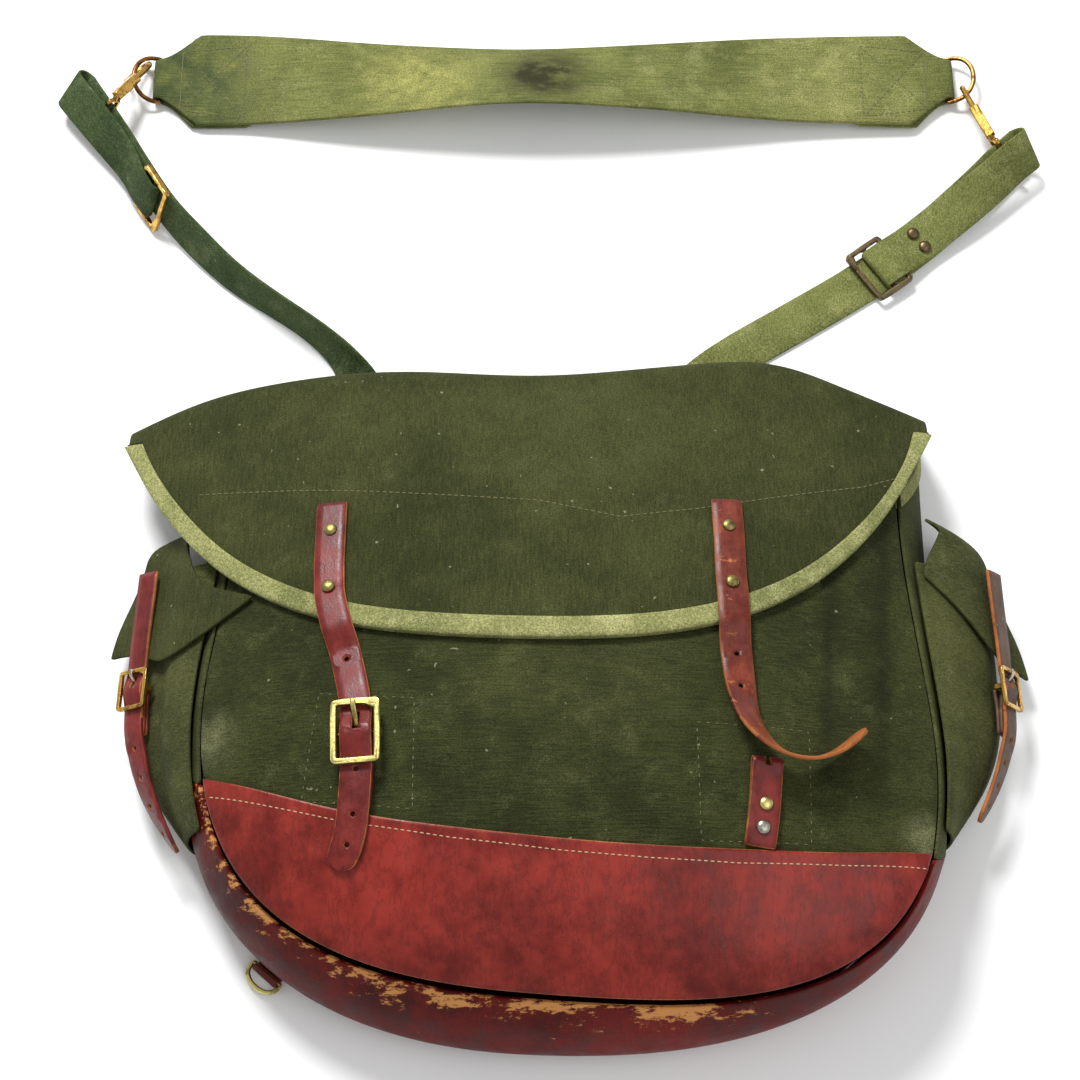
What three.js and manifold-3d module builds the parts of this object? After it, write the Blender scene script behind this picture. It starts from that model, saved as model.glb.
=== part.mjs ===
// Canvas and leather haversack, lying on its back with its shoulder strap laid out above its mouth.
// Millimetres. X runs to the right, Y towards the mouth, Z up from the back panel's rest face.
import * as THREE from 'three';
import { mergeVertices } from 'three/addons/utils/BufferGeometryUtils.js';
import Module from 'manifold-3d';

const wasm = await Module();
wasm.setup();

// Body
const bagWidth = 376; // across the front seams
const seamDrop = 161; // from the origin down to the lowest point of the front seam
const mouthUp = 112; // from the origin up to the mouth's front edge
const ridgeUp = 186; // from the origin up to the fold of the flap
const seamDepth = 64; // front seam above the rest face
const crownDepth = 97; // crown of the front above the rest face
const seamDip = 3.5; // the front sinks this much into its seam
const cornerDrop = 20; // the round bottom starts this far below the origin
const seamSkew = 0.066; // the slumped bottom seam falls this much to the right, mm per mm
const backWidth = 388;
const backDrop = 174; // from the origin down to the back panel's bottom
const backUp = 172; // from the origin up to the back panel's top
const gussetBulge = 12;

// Cloth and leather
const canvasWall = 1.6;
const leatherWall = 2.2;
const tapeWall = 0.9;
const tapeWidth = 10;
const webWall = 1.7;
const seat = 0.4; // clearance between pieces that touch

// Flap
const flapWidth = 434;
const flapRoll = 13; // radius of the fold at the ridge
const flapLap = 14; // hem of the flap sewn inside the back panel

// Closure straps
const strapWidth = 16;
const strapWall = 2;
const rivetRadius = 3.9;
const frameBar = 2.8; // bars of the cast buckle frame
const frameLength = 33;
const holeRadius = 1.5;

// Side pockets
const pocketDrop = 74; // from the origin down to the pocket's bottom
const pocketUp = 72; // from the origin up to the pocket's mouth
const pocketFlapUp = 100;
const pocketDepth = 30; // how far the pocket stands off the gusset
const pocketStrapWidth = 12.5;

// Shoulder strap
const padWidth = 62;
const padLength = 474;
const padWall = 2.4;
const padUp = 395; // the pad's centre line above the origin
const padHem = 60; // folded back end of the pad
const webWidth = 25;
const webLoop = 5; // radius of the webbing's loose turn round the hook's eye
const webTail = 36; // the webbing's end runs on this far past the slide's middle
const ringWire = 1.5;
const ringReach = 16.5; // ring's bow past its bar
const ringBar = 30;
const hookLength = 47;
const hookSpread = 13.5;
const hookWire = 1.8;
const hookBody = 5.6; // thickness of the hook's forked body
const gateWidth = 3;
const gateWall = 0.8;
const pinRadius = 0.6;
const slideBar = 2.6;
const slideLength = 24.5;
const slideMore = 9; // the slide is this much wider than the webbing

// Ring at the base
const baseRingBar = 19;
const baseRingReach = 9;
const baseRingWire = 1.3;

const canvasGreen = 0x3c4226;
const tapeGreen = 0x9ca46c;
const webGreen = 0x7f8653;
const oxblood = 0x7c2522;
const brass = 0xb59a50;
const bronze = 0x6a5a42;
const steel = 0xb8b8b4;

const halfBag = bagWidth / 2;
const bodySpan = seamDrop + ridgeUp;
const flapLift = tapeWall + 3 * seat; // underside of the flap over the front canvas
const flapTop = flapLift + canvasWall;
const tapeTop = flapTop + tapeWall + seat;
const leatherTop = leatherWall + 3 * seat;

const materials = {
  canvas: { color: canvasGreen, roughness: 0.95, metalness: 0 },
  tape: { color: tapeGreen, roughness: 0.9, metalness: 0 },
  webbing: { color: webGreen, roughness: 0.9, metalness: 0 },
  leather: { color: oxblood, roughness: 0.45, metalness: 0 },
  brass: { color: brass, roughness: 0.35, metalness: 1 },
  bronze: { color: bronze, roughness: 0.45, metalness: 1 },
  steel: { color: steel, roughness: 0.3, metalness: 1 },
};

const haversack = new THREE.Group();

function addPiece(name, material, geometry) {
  const mesh = new THREE.Mesh(geometry, new THREE.MeshStandardMaterial(materials[material]));
  mesh.name = name;
  haversack.add(mesh);
  return mesh;
}

// Number helpers
function mix(a, b, t) {
  return a + (b - a) * t;
}

function ease(t) {
  const held = Math.min(1, Math.max(0, t));
  return held * held * (3 - 2 * held);
}

// Smooth curve through one column of a table, held level past its ends.
function lookUp(rows, key, column, at) {
  const last = rows.length - 1;
  if (at <= rows[0][key]) return rows[0][column];
  if (at >= rows[last][key]) return rows[last][column];
  let i = 0;
  while (rows[i + 1][key] < at) i += 1;
  const slope = (k) => {
    const a = rows[Math.max(0, k - 1)];
    const b = rows[Math.min(last, k + 1)];
    return (b[column] - a[column]) / (b[key] - a[key]);
  };
  const step = rows[i + 1][key] - rows[i][key];
  const t = (at - rows[i][key]) / step;
  const t2 = t * t;
  const t3 = t2 * t;
  return (2 * t3 - 3 * t2 + 1) * rows[i][column] + (t3 - 2 * t2 + t) * step * slope(i)
    + (3 * t2 - 2 * t3) * rows[i + 1][column] + (t3 - t2) * step * slope(i + 1);
}

// Value of t in 0..1 where a falling or rising function passes a level.
function solveFor(level, measure) {
  let low = 0;
  let high = 1;
  const rising = measure(1) > measure(0);
  for (let i = 0; i < 40; i += 1) {
    const middle = (low + high) / 2;
    if (measure(middle) < level === rising) low = middle;
    else high = middle;
  }
  return (low + high) / 2;
}

// Mesh helpers. Each returns one closed solid with its faces outwards.
function closedSolid(points, triangles) {
  let volume = 0;
  for (let i = 0; i < triangles.length; i += 3) {
    const [a, b, c] = [0, 1, 2].map((k) => points[triangles[i + k]]);
    volume += a.dot(new THREE.Vector3().crossVectors(b, c));
  }
  const faces = volume > 0 ? triangles : triangles.slice().reverse();
  const geometry = new THREE.BufferGeometry();
  geometry.setAttribute('position', new THREE.Float32BufferAttribute(points.flatMap((p) => p.toArray()), 3));
  geometry.setIndex(faces);
  geometry.computeVertexNormals();
  return geometry;
}

// Normals of a grid of points, rows by columns.
function gridNormals(grid) {
  const rowEnd = grid.length - 1;
  const columnEnd = grid[0].length - 1;
  return grid.map((row, i) => row.map((point, j) => {
    const along = row[Math.min(columnEnd, j + 1)].clone().sub(row[Math.max(0, j - 1)]);
    const up = grid[Math.min(rowEnd, i + 1)][j].clone().sub(grid[Math.max(0, i - 1)][j]);
    return along.cross(up).normalize();
  }));
}

// A wall whose outer face is a grid of points, thickened inwards.
function sheetSolid(grid, thickness) {
  const normals = gridNormals(grid);
  const inner = grid.map((row, i) => row.map((p, j) => p.clone().addScaledVector(normals[i][j], -thickness)));
  const rows = grid.length;
  const columns = grid[0].length;
  const half = rows * columns;
  const points = [...grid.flat(), ...inner.flat()];
  const triangles = [];
  const at = (i, j) => i * columns + j;
  const quad = (a, b, c, d) => triangles.push(a, b, c, a, c, d);
  for (let i = 0; i < rows - 1; i += 1) {
    for (let j = 0; j < columns - 1; j += 1) {
      quad(at(i, j), at(i, j + 1), at(i + 1, j + 1), at(i + 1, j));
      quad(half + at(i, j), half + at(i + 1, j), half + at(i + 1, j + 1), half + at(i, j + 1));
    }
  }
  for (let j = 0; j < columns - 1; j += 1) {
    quad(half + at(0, j), half + at(0, j + 1), at(0, j + 1), at(0, j));
    quad(at(rows - 1, j), at(rows - 1, j + 1), half + at(rows - 1, j + 1), half + at(rows - 1, j));
  }
  for (let i = 0; i < rows - 1; i += 1) {
    quad(half + at(i + 1, 0), half + at(i, 0), at(i, 0), at(i + 1, 0));
    quad(at(i + 1, columns - 1), at(i, columns - 1), half + at(i, columns - 1), half + at(i + 1, columns - 1));
  }
  return closedSolid(points, triangles);
}

// Loops of points joined one to the next. The end faces are triangles of a loop, turning as the loop does.
function loftSolid(loops, endFaces) {
  const count = loops[0].length;
  const triangles = [];
  for (let k = 0; k < loops.length - 1; k += 1) {
    for (let i = 0; i < count; i += 1) {
      const a = k * count + i;
      const b = k * count + (i + 1) % count;
      triangles.push(a, b, b + count, a, b + count, a + count);
    }
  }
  const last = (loops.length - 1) * count;
  endFaces.forEach(([a, b, c]) => triangles.push(c, b, a, a + last, b + last, c + last));
  return closedSolid(loops.flat(), triangles);
}

function facesOf(outline) {
  const faces = THREE.ShapeUtils.triangulateShape(outline, []);
  const [a, b, c] = faces[0].map((i) => outline[i]);
  const facesTurn = (b.x - a.x) * (c.y - a.y) - (b.y - a.y) * (c.x - a.x) > 0;
  return facesTurn === !THREE.ShapeUtils.isClockWise(outline) ? faces : faces.map((face) => face.slice().reverse());
}

// Outline of a band of even thickness along a centre line of (s, h) points.
function bandOutline(line, thickness) {
  const sides = [-1, 1].map((side) => line.map((p, i) => {
    const before = line[Math.max(0, i - 1)];
    const after = line[Math.min(line.length - 1, i + 1)];
    const first = p.clone().sub(before).normalize();
    const second = after.clone().sub(p).normalize();
    const way = first.clone().add(second).normalize();
    const sharp = i === 0 || i === line.length - 1 ? 1 : Math.max(0.5, way.dot(second));
    return new THREE.Vector2(-way.y, way.x).multiplyScalar(side * thickness / 2 / sharp).add(p);
  }));
  return [...sides[0], ...sides[1].reverse()];
}

// A strap: a band outline in (s, h), where s runs along a path and h stands off it, given a width.
function strapSolid(frameAt, line, thickness, halfWidth) {
  const outline = bandOutline(line, thickness);
  const edge = (side) => outline.map((p) => {
    const frame = frameAt(p.x);
    const half = typeof halfWidth === 'function' ? halfWidth(p.x) : halfWidth;
    return frame.origin.clone().addScaledVector(frame.up, p.y).addScaledVector(frame.across, side * half);
  });
  const rungs = line.slice(1).map((unused, i) => i);
  const far = outline.length - 1;
  const faces = rungs.flatMap((i) => [[i, i + 1, far - i - 1], [i, far - i - 1, far - i]]);
  return loftSolid([edge(-1), edge(1)], faces);
}

function toSolid(geometry) {
  const bare = geometry.clone();
  bare.deleteAttribute('normal');
  bare.deleteAttribute('uv');
  const merged = mergeVertices(bare, 1e-4);
  return new wasm.Manifold(new wasm.Mesh({
    numProp: 3,
    vertProperties: new Float32Array(merged.attributes.position.array),
    triVerts: new Uint32Array(merged.index.array),
  }));
}

function fromSolid(solid) {
  const mesh = solid.getMesh();
  const geometry = new THREE.BufferGeometry();
  geometry.setAttribute('position', new THREE.BufferAttribute(mesh.vertProperties, 3));
  geometry.setIndex(new THREE.BufferAttribute(mesh.triVerts, 1));
  geometry.computeVertexNormals();
  return geometry;
}

function joined(...geometries) {
  return fromSolid(geometries.map(toSolid).reduce((a, b) => a.add(b)));
}

function cutBy(geometry, ...tools) {
  return fromSolid(tools.map(toSolid).reduce((a, b) => a.subtract(b), toSolid(geometry)));
}

// Places a geometry whose X is across, Y is along and Z is up at a frame on a path.
function placeAt(geometry, frame, along = 0, rise = 0, across = 0) {
  const way = new THREE.Vector3().crossVectors(frame.up, frame.across);
  const origin = frame.origin.clone().addScaledVector(frame.up, rise)
    .addScaledVector(way, along).addScaledVector(frame.across, across);
  return geometry.applyMatrix4(new THREE.Matrix4().makeBasis(frame.across, way, frame.up).setPosition(origin));
}

// Frames along a curve with a surface normal, or with a roll about the curve given in degrees.
function framesAlong(curve, upAt) {
  const length = curve.getLength();
  return (s) => {
    const t = Math.min(1, Math.max(0, s / length));
    const tangent = curve.getTangentAt(t);
    const origin = curve.getPointAt(t).addScaledVector(tangent, s - t * length);
    const across = new THREE.Vector3().crossVectors(tangent, upAt(t, origin)).normalize();
    const up = new THREE.Vector3().crossVectors(across, tangent).normalize();
    return { origin, across, up };
  };
}

function tiltedUp(curve, tiltAt) {
  return (t) => {
    const tangent = curve.getTangentAt(t);
    const side = new THREE.Vector3().crossVectors(tangent, new THREE.Vector3(0, 0, 1)).normalize();
    const tilt = THREE.MathUtils.degToRad(tiltAt(t));
    return new THREE.Vector3(0, 0, Math.cos(tilt)).addScaledVector(side, Math.sin(tilt));
  };
}

// Front form. Heights are shares of seamDepth and crownDepth, up is a share of bodySpan.
const frontSections = [
  { up: 0.0, side: 1.0, crown: 1.0 },
  { up: 0.28, side: 1.0, crown: 1.0 },
  { up: 0.41, side: 0.98, crown: 0.985 },
  { up: 0.52, side: 0.96, crown: 0.94 },
  { up: 0.64, side: 0.93, crown: 0.88 },
  { up: 0.78, side: 0.86, crown: 0.77 },
  { up: 0.9, side: 0.73, crown: 0.64 },
  { up: 1.0, side: 0.6, crown: 0.52 },
];

// Soft folds of the front and flap. Places and spreads are shares of halfBag, deep of crownDepth.
const frontDents = [
  { x: 0.66, y: 0.02, deep: -0.03, wide: 0.1, tall: 0.4 },
  { x: 0.86, y: -0.1, deep: 0.02, wide: 0.08, tall: 0.35 },
  { x: -0.86, y: -0.1, deep: 0.02, wide: 0.1, tall: 0.3 },
  { x: -0.1, y: 0.95, deep: -0.05, wide: 0.35, tall: 0.12 },
  { x: 0.62, y: 0.98, deep: 0.05, wide: 0.2, tall: 0.12 },
  { x: 0.15, y: 0.62, deep: -0.02, wide: 0.5, tall: 0.06 },
  { x: -0.6, y: 0.6, deep: 0.025, wide: 0.25, tall: 0.2 },
];
const domeCurve = 2.4;
const seamCurve = 2.8;
const backCurve = 2.3;
const sideTaper = 0.065;

function sideHalf(y) {
  return halfBag * (1 - sideTaper * ease((y + 2 * cornerDrop) / (mouthUp + cornerDrop)));
}

// Share of the way from the middle of the front to its seam.
function seamShare(x, y) {
  const across = Math.abs(x) / sideHalf(y);
  const below = Math.max(0, -cornerDrop - y - seamSkew * x) / (seamDrop - cornerDrop);
  return (across ** seamCurve + below ** seamCurve) ** (1 / seamCurve);
}

// Height of the front canvas, carried on smoothly past its seams for what lies over it.
function frontHeight(x, y) {
  const up = (y + seamDrop) / bodySpan;
  const side = seamDepth * lookUp(frontSections, 'up', 'side', up);
  const crown = crownDepth * lookUp(frontSections, 'up', 'crown', up);
  const dents = frontDents.reduce((sum, dent) => {
    const u = (x / halfBag - dent.x) / dent.wide;
    const v = (y / halfBag - dent.y) / dent.tall;
    return sum + dent.deep * crownDepth * Math.exp(-u * u - v * v);
  }, 0);
  const share = seamShare(x, y);
  return side + (crown - side) * (1 - share ** domeCurve) + dents * Math.max(0, 1 - share ** 4);
}

function skinHeight(x, y) {
  return frontHeight(x, y) - seamDip * ease((seamShare(x, y) - 0.93) / 0.07);
}

function frontUp(x, y) {
  const step = 4;
  const dx = frontHeight(x + step, y) - frontHeight(x - step, y);
  const dy = frontHeight(x, y + step) - frontHeight(x, y - step);
  return new THREE.Vector3(-dx, -dy, 2 * step).normalize();
}

// U-shaped outlines from the top left round the bottom to the top right, set in by a distance.
function uOutline(halfAt, top, bend, drop, power, skew, inset) {
  const points = [];
  const sideSteps = 6;
  const roundSteps = 28;
  for (let i = 0; i < sideSteps; i += 1) {
    const y = mix(top, -bend, i / sideSteps);
    points.push(new THREE.Vector3(-halfAt(y), y + skew * halfAt(y) * ease(1 - (y + bend) / top), 0));
  }
  for (let i = 0; i <= roundSteps; i += 1) {
    const turn = Math.PI * i / roundSteps;
    const x = -halfAt(-bend) * Math.sign(Math.cos(turn)) * Math.abs(Math.cos(turn)) ** (2 / power);
    const y = -bend - (drop - bend) * Math.abs(Math.sin(turn)) ** (2 / power);
    points.push(new THREE.Vector3(x, y - skew * x, 0));
  }
  for (let i = sideSteps - 1; i >= 0; i -= 1) {
    const y = mix(top, -bend, i / sideSteps);
    points.push(new THREE.Vector3(halfAt(y), y - skew * halfAt(y) * ease(1 - (y + bend) / top), 0));
  }
  const line = new THREE.CatmullRomCurve3(points, false, 'centripetal');
  if (inset === 0) return line;
  const moved = line.getSpacedPoints(60).map((p, i) => {
    const way = line.getTangentAt(i / 60);
    return p.add(new THREE.Vector3(-way.y, way.x, 0).multiplyScalar(inset));
  });
  return new THREE.CatmullRomCurve3(moved, false, 'centripetal');
}

function frontOutline(inset) {
  return uOutline(sideHalf, mouthUp, cornerDrop, seamDrop, seamCurve, seamSkew, inset);
}

const seamLine = frontOutline(0);
const backTopCorner = backUp - 7;
const backLine = uOutline(() => backWidth / 2, backTopCorner, cornerDrop, backDrop, backCurve, 0, 0);

// Leather edge on the front: across is a share from seam to seam, drop a share of seamDrop.
const leatherEdge = [
  { across: 0.0, drop: 0.32 },
  { across: 0.07, drop: 0.37 },
  { across: 0.2, drop: 0.46 },
  { across: 0.35, drop: 0.52 },
  { across: 0.6, drop: 0.575 },
  { across: 0.85, drop: 0.585 },
  { across: 1.0, drop: 0.56 },
];
const leatherLeft = solveFor(-leatherEdge[0].drop * seamDrop, (t) => seamLine.getPointAt(t / 2).y) / 2;
const leatherRight = 1 - solveFor(-leatherEdge[6].drop * seamDrop, (t) => seamLine.getPointAt(1 - t / 2).y) / 2;

function leatherEdgePoint(line, across) {
  const start = line.getPointAt(leatherLeft);
  const end = line.getPointAt(leatherRight);
  const drop = seamDrop * lookUp(leatherEdge, 'across', 'drop', across);
  const lift = mix(start.y, end.y, across) - mix(-leatherEdge[0].drop, -leatherEdge[6].drop, across) * seamDrop;
  return new THREE.Vector3(mix(start.x, end.x, across), lift - drop, 0);
}

// Front canvas: its lower edge is tucked under the leather, its sides follow the seam.
const mouthBow = 9;
const underLap = 12;

function frontCanvas() {
  const line = frontOutline(canvasWall + seat);
  const columns = 18;
  const rows = 9;
  const low = (a) => {
    const edge = leatherEdgePoint(line, a);
    const seam = line.getPointAt(mix(leatherLeft, leatherRight, a));
    const reach = edge.distanceTo(seam);
    return edge.lerp(seam, Math.min(underLap, reach / 2) / Math.max(reach, 1));
  };
  const high = (a) => {
    const point = line.getPointAt(0).lerp(line.getPointAt(1), a);
    point.y += mouthBow * (1 - (2 * a - 1) ** 2);
    return point;
  };
  const left = (b) => line.getPointAt(leatherLeft * (1 - b));
  const right = (b) => line.getPointAt(mix(leatherRight, 1, b));
  const grid = [];
  for (let i = 0; i <= rows; i += 1) {
    const b = i / rows;
    const row = [];
    for (let j = 0; j <= columns; j += 1) {
      const a = j / columns;
      const p = low(a).multiplyScalar(1 - b).addScaledVector(high(a), b);
      p.addScaledVector(left(b), 1 - a).addScaledVector(right(b), a);
      p.addScaledVector(low(0), -(1 - a) * (1 - b)).addScaledVector(low(1), -a * (1 - b));
      p.addScaledVector(high(0), -(1 - a) * b).addScaledVector(high(1), -a * b);
      p.z = skinHeight(p.x, p.y);
      row.push(p);
    }
    grid.push(row);
  }
  return sheetSolid(grid, canvasWall);
}

function frontLeather() {
  const line = frontOutline(leatherWall + seat);
  const columns = 22;
  const rows = 5;
  const cornerLength = 0.012; // share of the seam taken by the leather's blunt side corners
  const grid = [];
  for (let i = 0; i <= rows; i += 1) {
    const row = [];
    for (let j = 0; j <= columns; j += 1) {
      const a = j / columns;
      const seam = line.getPointAt(mix(leatherLeft + cornerLength, leatherRight - cornerLength, a));
      const p = seam.lerp(leatherEdgePoint(line, a), i / rows);
      p.z = skinHeight(p.x, p.y) + leatherTop;
      row.push(p);
    }
    grid.push(row);
  }
  return sheetSolid(grid, leatherWall);
}

// Gusset band. u runs round the seam from left to right, v from the back seam to the front seam.
const bulgeByPlace = [
  { u: 0.0, out: 0.5 },
  { u: 0.15, out: 0.4 },
  { u: 0.3, out: 1.0 },
  { u: 0.5, out: 0.9 },
  { u: 0.7, out: 0.7 },
  { u: 0.85, out: 0.4 },
  { u: 1.0, out: 0.5 },
];

function seamPoint(u) {
  const p = seamLine.getPointAt(u);
  p.z = skinHeight(p.x, p.y);
  return p;
}

function gussetPoint(u, v) {
  const front = seamPoint(u);
  const back = backLine.getPointAt(u);
  back.z = 2 * seat;
  const way = seamLine.getTangentAt(u);
  const out = gussetBulge * lookUp(bulgeByPlace, 'u', 'out', u) * (4 * v * (1 - v)) ** 0.8;
  return back.lerp(front, v).addScaledVector(new THREE.Vector3(way.y, -way.x, 0), out);
}

function gussetGrid(from, to, columns, rows) {
  const grid = [];
  for (let i = 0; i <= rows; i += 1) {
    const row = [];
    for (let j = 0; j <= columns; j += 1) row.push(gussetPoint(mix(from, to, j / columns), i / rows));
    grid.push(row);
  }
  return grid;
}

// Tape folded round a wall's edge: the edge's points, the next points inwards, the outward normals.
function edgeTape(edge, inward, normals, wall) {
  const shell = seat + tapeWall;
  const outline = [
    [tapeWidth, seat], [tapeWidth, shell], [-shell, shell], [-shell, -wall - shell],
    [tapeWidth, -wall - shell], [tapeWidth, -wall - seat], [-seat, -wall - seat], [-seat, seat],
  ].map(([x, y]) => new THREE.Vector2(x, y));
  const loops = edge.map((p, i) => {
    const into = inward[i].clone().sub(p);
    into.addScaledVector(normals[i], -into.dot(normals[i])).normalize();
    return outline.map((q) => p.clone().addScaledVector(into, q.x).addScaledVector(normals[i], q.y));
  });
  return loftSolid(loops, facesOf(outline));
}

// Flap. One row per place across: fold and edge points as shares of half its width and of ridgeUp.
const flapSections = [
  { across: 0.0, foldX: -1.09, foldY: 0.85, edgeX: -1.095, edgeY: 0.78 },
  { across: 0.125, foldX: -0.89, foldY: 0.94, edgeX: -0.98, edgeY: 0.54 },
  { across: 0.25, foldX: -0.665, foldY: 0.985, edgeX: -0.78, edgeY: 0.29 },
  { across: 0.375, foldX: -0.4, foldY: 1.005, edgeX: -0.5, edgeY: 0.135 },
  { across: 0.5, foldX: -0.065, foldY: 0.985, edgeX: -0.115, edgeY: 0.085 },
  { across: 0.625, foldX: 0.25, foldY: 1.015, edgeX: 0.26, edgeY: 0.105 },
  { across: 0.75, foldX: 0.51, foldY: 1.03, edgeX: 0.54, edgeY: 0.235 },
  { across: 0.875, foldX: 0.735, foldY: 0.935, edgeX: 0.755, edgeY: 0.48 },
  { across: 1.0, foldX: 0.895, foldY: 0.86, edgeX: 0.9, edgeY: 0.79 },
];
const rootHalf = backWidth / 2 - 6;

function flapGrid() {
  const columns = 18;
  const frontRows = 6;
  const halfFlap = flapWidth / 2;
  const rootZ = Math.max(canvasWall, webWall) + seat;
  const grid = [];
  const cell = (name, a) => lookUp(flapSections, 'across', name, a);
  for (let i = 0; i <= frontRows; i += 1) {
    const row = [];
    for (let j = 0; j <= columns; j += 1) {
      const a = j / columns;
      const t = i / frontRows;
      const x = mix(cell('edgeX', a), cell('foldX', a), t) * halfFlap;
      const y = mix(cell('edgeY', a) * ridgeUp, cell('foldY', a) * ridgeUp - flapRoll, t);
      row.push(new THREE.Vector3(x, y, frontHeight(x, y) + flapTop));
    }
    grid.push(row);
  }
  const top = grid[frontRows];
  for (const turn of [30, 60, 90]) {
    const angle = THREE.MathUtils.degToRad(turn);
    grid.push(top.map((p) => new THREE.Vector3(
      p.x, p.y + flapRoll * Math.sin(angle), p.z - flapRoll * (1 - Math.cos(angle)))));
  }
  const brow = grid[grid.length - 1];
  const root = (j) => new THREE.Vector3(mix(-rootHalf, rootHalf, j / columns), backUp + 4, rootZ);
  for (const share of [0.5, 1]) {
    grid.push(brow.map((p, j) => {
      const q = p.clone().lerp(root(j), share);
      q.y += (1 - share) * 4;
      return q;
    }));
  }
  grid.push(grid[grid.length - 1].map((p) => new THREE.Vector3(p.x, backUp - flapLap, rootZ)));
  return grid;
}

// Back panel, flat on the rest face, in canvas above and leather below.
const backSplit = 0.5 * backDrop;

function backPiece(fromY, toY, wall) {
  const line = uOutline(() => backWidth / 2, backTopCorner, cornerDrop, backDrop, backCurve, 0, leatherWall + seat);
  const points = line.getSpacedPoints(48).filter((p) => p.y > fromY && p.y < toY);
  const cut = (y) => solveFor(y, (t) => line.getPointAt(t / 2).y) / 2;
  const outline = [];
  if (toY < backTopCorner) {
    const edge = line.getPointAt(cut(toY));
    outline.push(edge, ...points, new THREE.Vector3(-edge.x, edge.y, 0));
  } else {
    const edge = line.getPointAt(cut(fromY));
    const left = points.filter((p) => p.x < 0);
    const right = points.filter((p) => p.x > 0);
    const top = line.getPointAt(0);
    outline.push(...right, new THREE.Vector3(-top.x, toY, 0), new THREE.Vector3(top.x, toY, 0), ...left, edge);
    outline.push(new THREE.Vector3(-edge.x, edge.y, 0));
  }
  const shape = new THREE.Shape(outline.map((p) => new THREE.Vector2(p.x, p.y)));
  return new THREE.ExtrudeGeometry(shape, { depth: wall, bevelEnabled: false });
}

// Body of the bag
addPiece('front_canvas', 'canvas', frontCanvas());
addPiece('front_leather', 'leather', frontLeather());
addPiece('back_canvas', 'canvas', backPiece(-backSplit + seat, backUp, canvasWall));
addPiece('back_leather', 'leather', backPiece(-backDrop, -backSplit, leatherWall));
const jointShare = seat / seamLine.getLength();
const gussetLeft = gussetGrid(0, leatherLeft - jointShare, 7, 5);
const gussetRight = gussetGrid(leatherRight + jointShare, 1, 8, 5);
addPiece('gusset_left', 'canvas', sheetSolid(gussetLeft, canvasWall));
addPiece('gusset_right', 'canvas', sheetSolid(gussetRight, canvasWall));
addPiece('gusset_leather', 'leather', sheetSolid(gussetGrid(leatherLeft, leatherRight, 24, 4), leatherWall));

// Flap and its tape
const flap = flapGrid();
const flapNormals = gridNormals(flap);
addPiece('flap', 'canvas', sheetSolid(flap, canvasWall));
addPiece('flap_binding', 'tape', edgeTape(flap[0], flap[1], flapNormals[0], canvasWall));

// Tapes on the gussets' top edges
[['mouth_binding_left', gussetLeft, 0, 1], ['mouth_binding_right', gussetRight, 8, -1]].forEach((tape) => {
  const [name, grid, column, step] = tape;
  const normals = gridNormals(grid).map((row) => row[column]).slice(1);
  const edge = grid.map((row) => row[column]).slice(1);
  const inward = grid.map((row) => row[column + step]).slice(1);
  addPiece(name, 'tape', edgeTape(edge, inward, normals, canvasWall));
});

// Side pockets. The form rows run from the back (v 0) to the front seam (v 1); out is a share of pocketDepth.
const pockets = {
  left: {
    side: -1,
    form: [
      { v: 0.06, out: 0.05 },
      { v: 0.14, out: 0.7 },
      { v: 0.24, out: 1.0 },
      { v: 0.38, out: 0.8 },
      { v: 0.52, out: 0.45 },
      { v: 0.66, out: 0.42 },
      { v: 0.8, out: 0.36 },
      { v: 0.94, out: 0.02 },
    ],
    // hang is the flap's lower edge and over its lap on the front, both as shares of pocketUp
    flap: [
      { c: 0.0, v: 0.22, hang: 0.42, over: 0, flare: 0.4 },
      { c: 0.2, v: 0.38, hang: 0.42, over: 0, flare: 0.16 },
      { c: 0.4, v: 0.54, hang: 0.32, over: 0, flare: 0.12 },
      { c: 0.6, v: 0.72, hang: 0.27, over: 0, flare: 0.05 },
      { c: 0.8, v: 0.9, hang: 0.34, over: 0, flare: 0.02 },
      { c: 1.0, v: 0.9, hang: 0.64, over: 0.26, flare: 0 },
    ],
    strapV: 0.4,
    clear: 0.9,
    lift: 1.5, // flap off the pocket, a share of canvasWall
    tipDrop: 1.0,
  },
  right: {
    side: 1,
    form: [
      { v: 0.06, out: 0.05 },
      { v: 0.14, out: 0.7 },
      { v: 0.24, out: 1.0 },
      { v: 0.42, out: 0.92 },
      { v: 0.6, out: 0.66 },
      { v: 0.78, out: 0.36 },
      { v: 0.94, out: 0.02 },
    ],
    flap: [
      { c: 0.0, v: 0.24, hang: 0.25, over: 0, flare: 0.5 },
      { c: 0.25, v: 0.42, hang: 0.33, over: 0, flare: 0.1 },
      { c: 0.5, v: 0.6, hang: 0.48, over: 0, flare: 0.12 },
      { c: 0.75, v: 0.76, hang: 0.7, over: 0, flare: 0.04 },
      { c: 1.0, v: 0.92, hang: 0.88, over: 0, flare: 0 },
    ],
    strapV: 0.44,
    clear: 0.7,
    lift: 1.0,
    tipDrop: 0.8,
  },
};
const pocketSpan = pocketDrop + pocketUp;

// Point of the gusset at a height y and place v across it.
function gussetAt(side, y, v) {
  const atU = (t) => (side < 0 ? t / 2 : 1 - t / 2);
  return gussetPoint(atU(solveFor(y, (t) => gussetPoint(atU(t), v).y)), v);
}

function pocketPoint(pocket, y, v, more = 0) {
  const t = (y + pocketDrop) / pocketSpan;
  const rise = Math.sin(Math.min(1, Math.max(0, t) / 0.5) * Math.PI / 2);
  const out = pocketDepth * (lookUp(pocket.form, 'v', 'out', v) + more) * rise;
  const p = gussetAt(pocket.side, y, v);
  p.x += pocket.side * (out + canvasWall + 2 * seat);
  return p;
}

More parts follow.
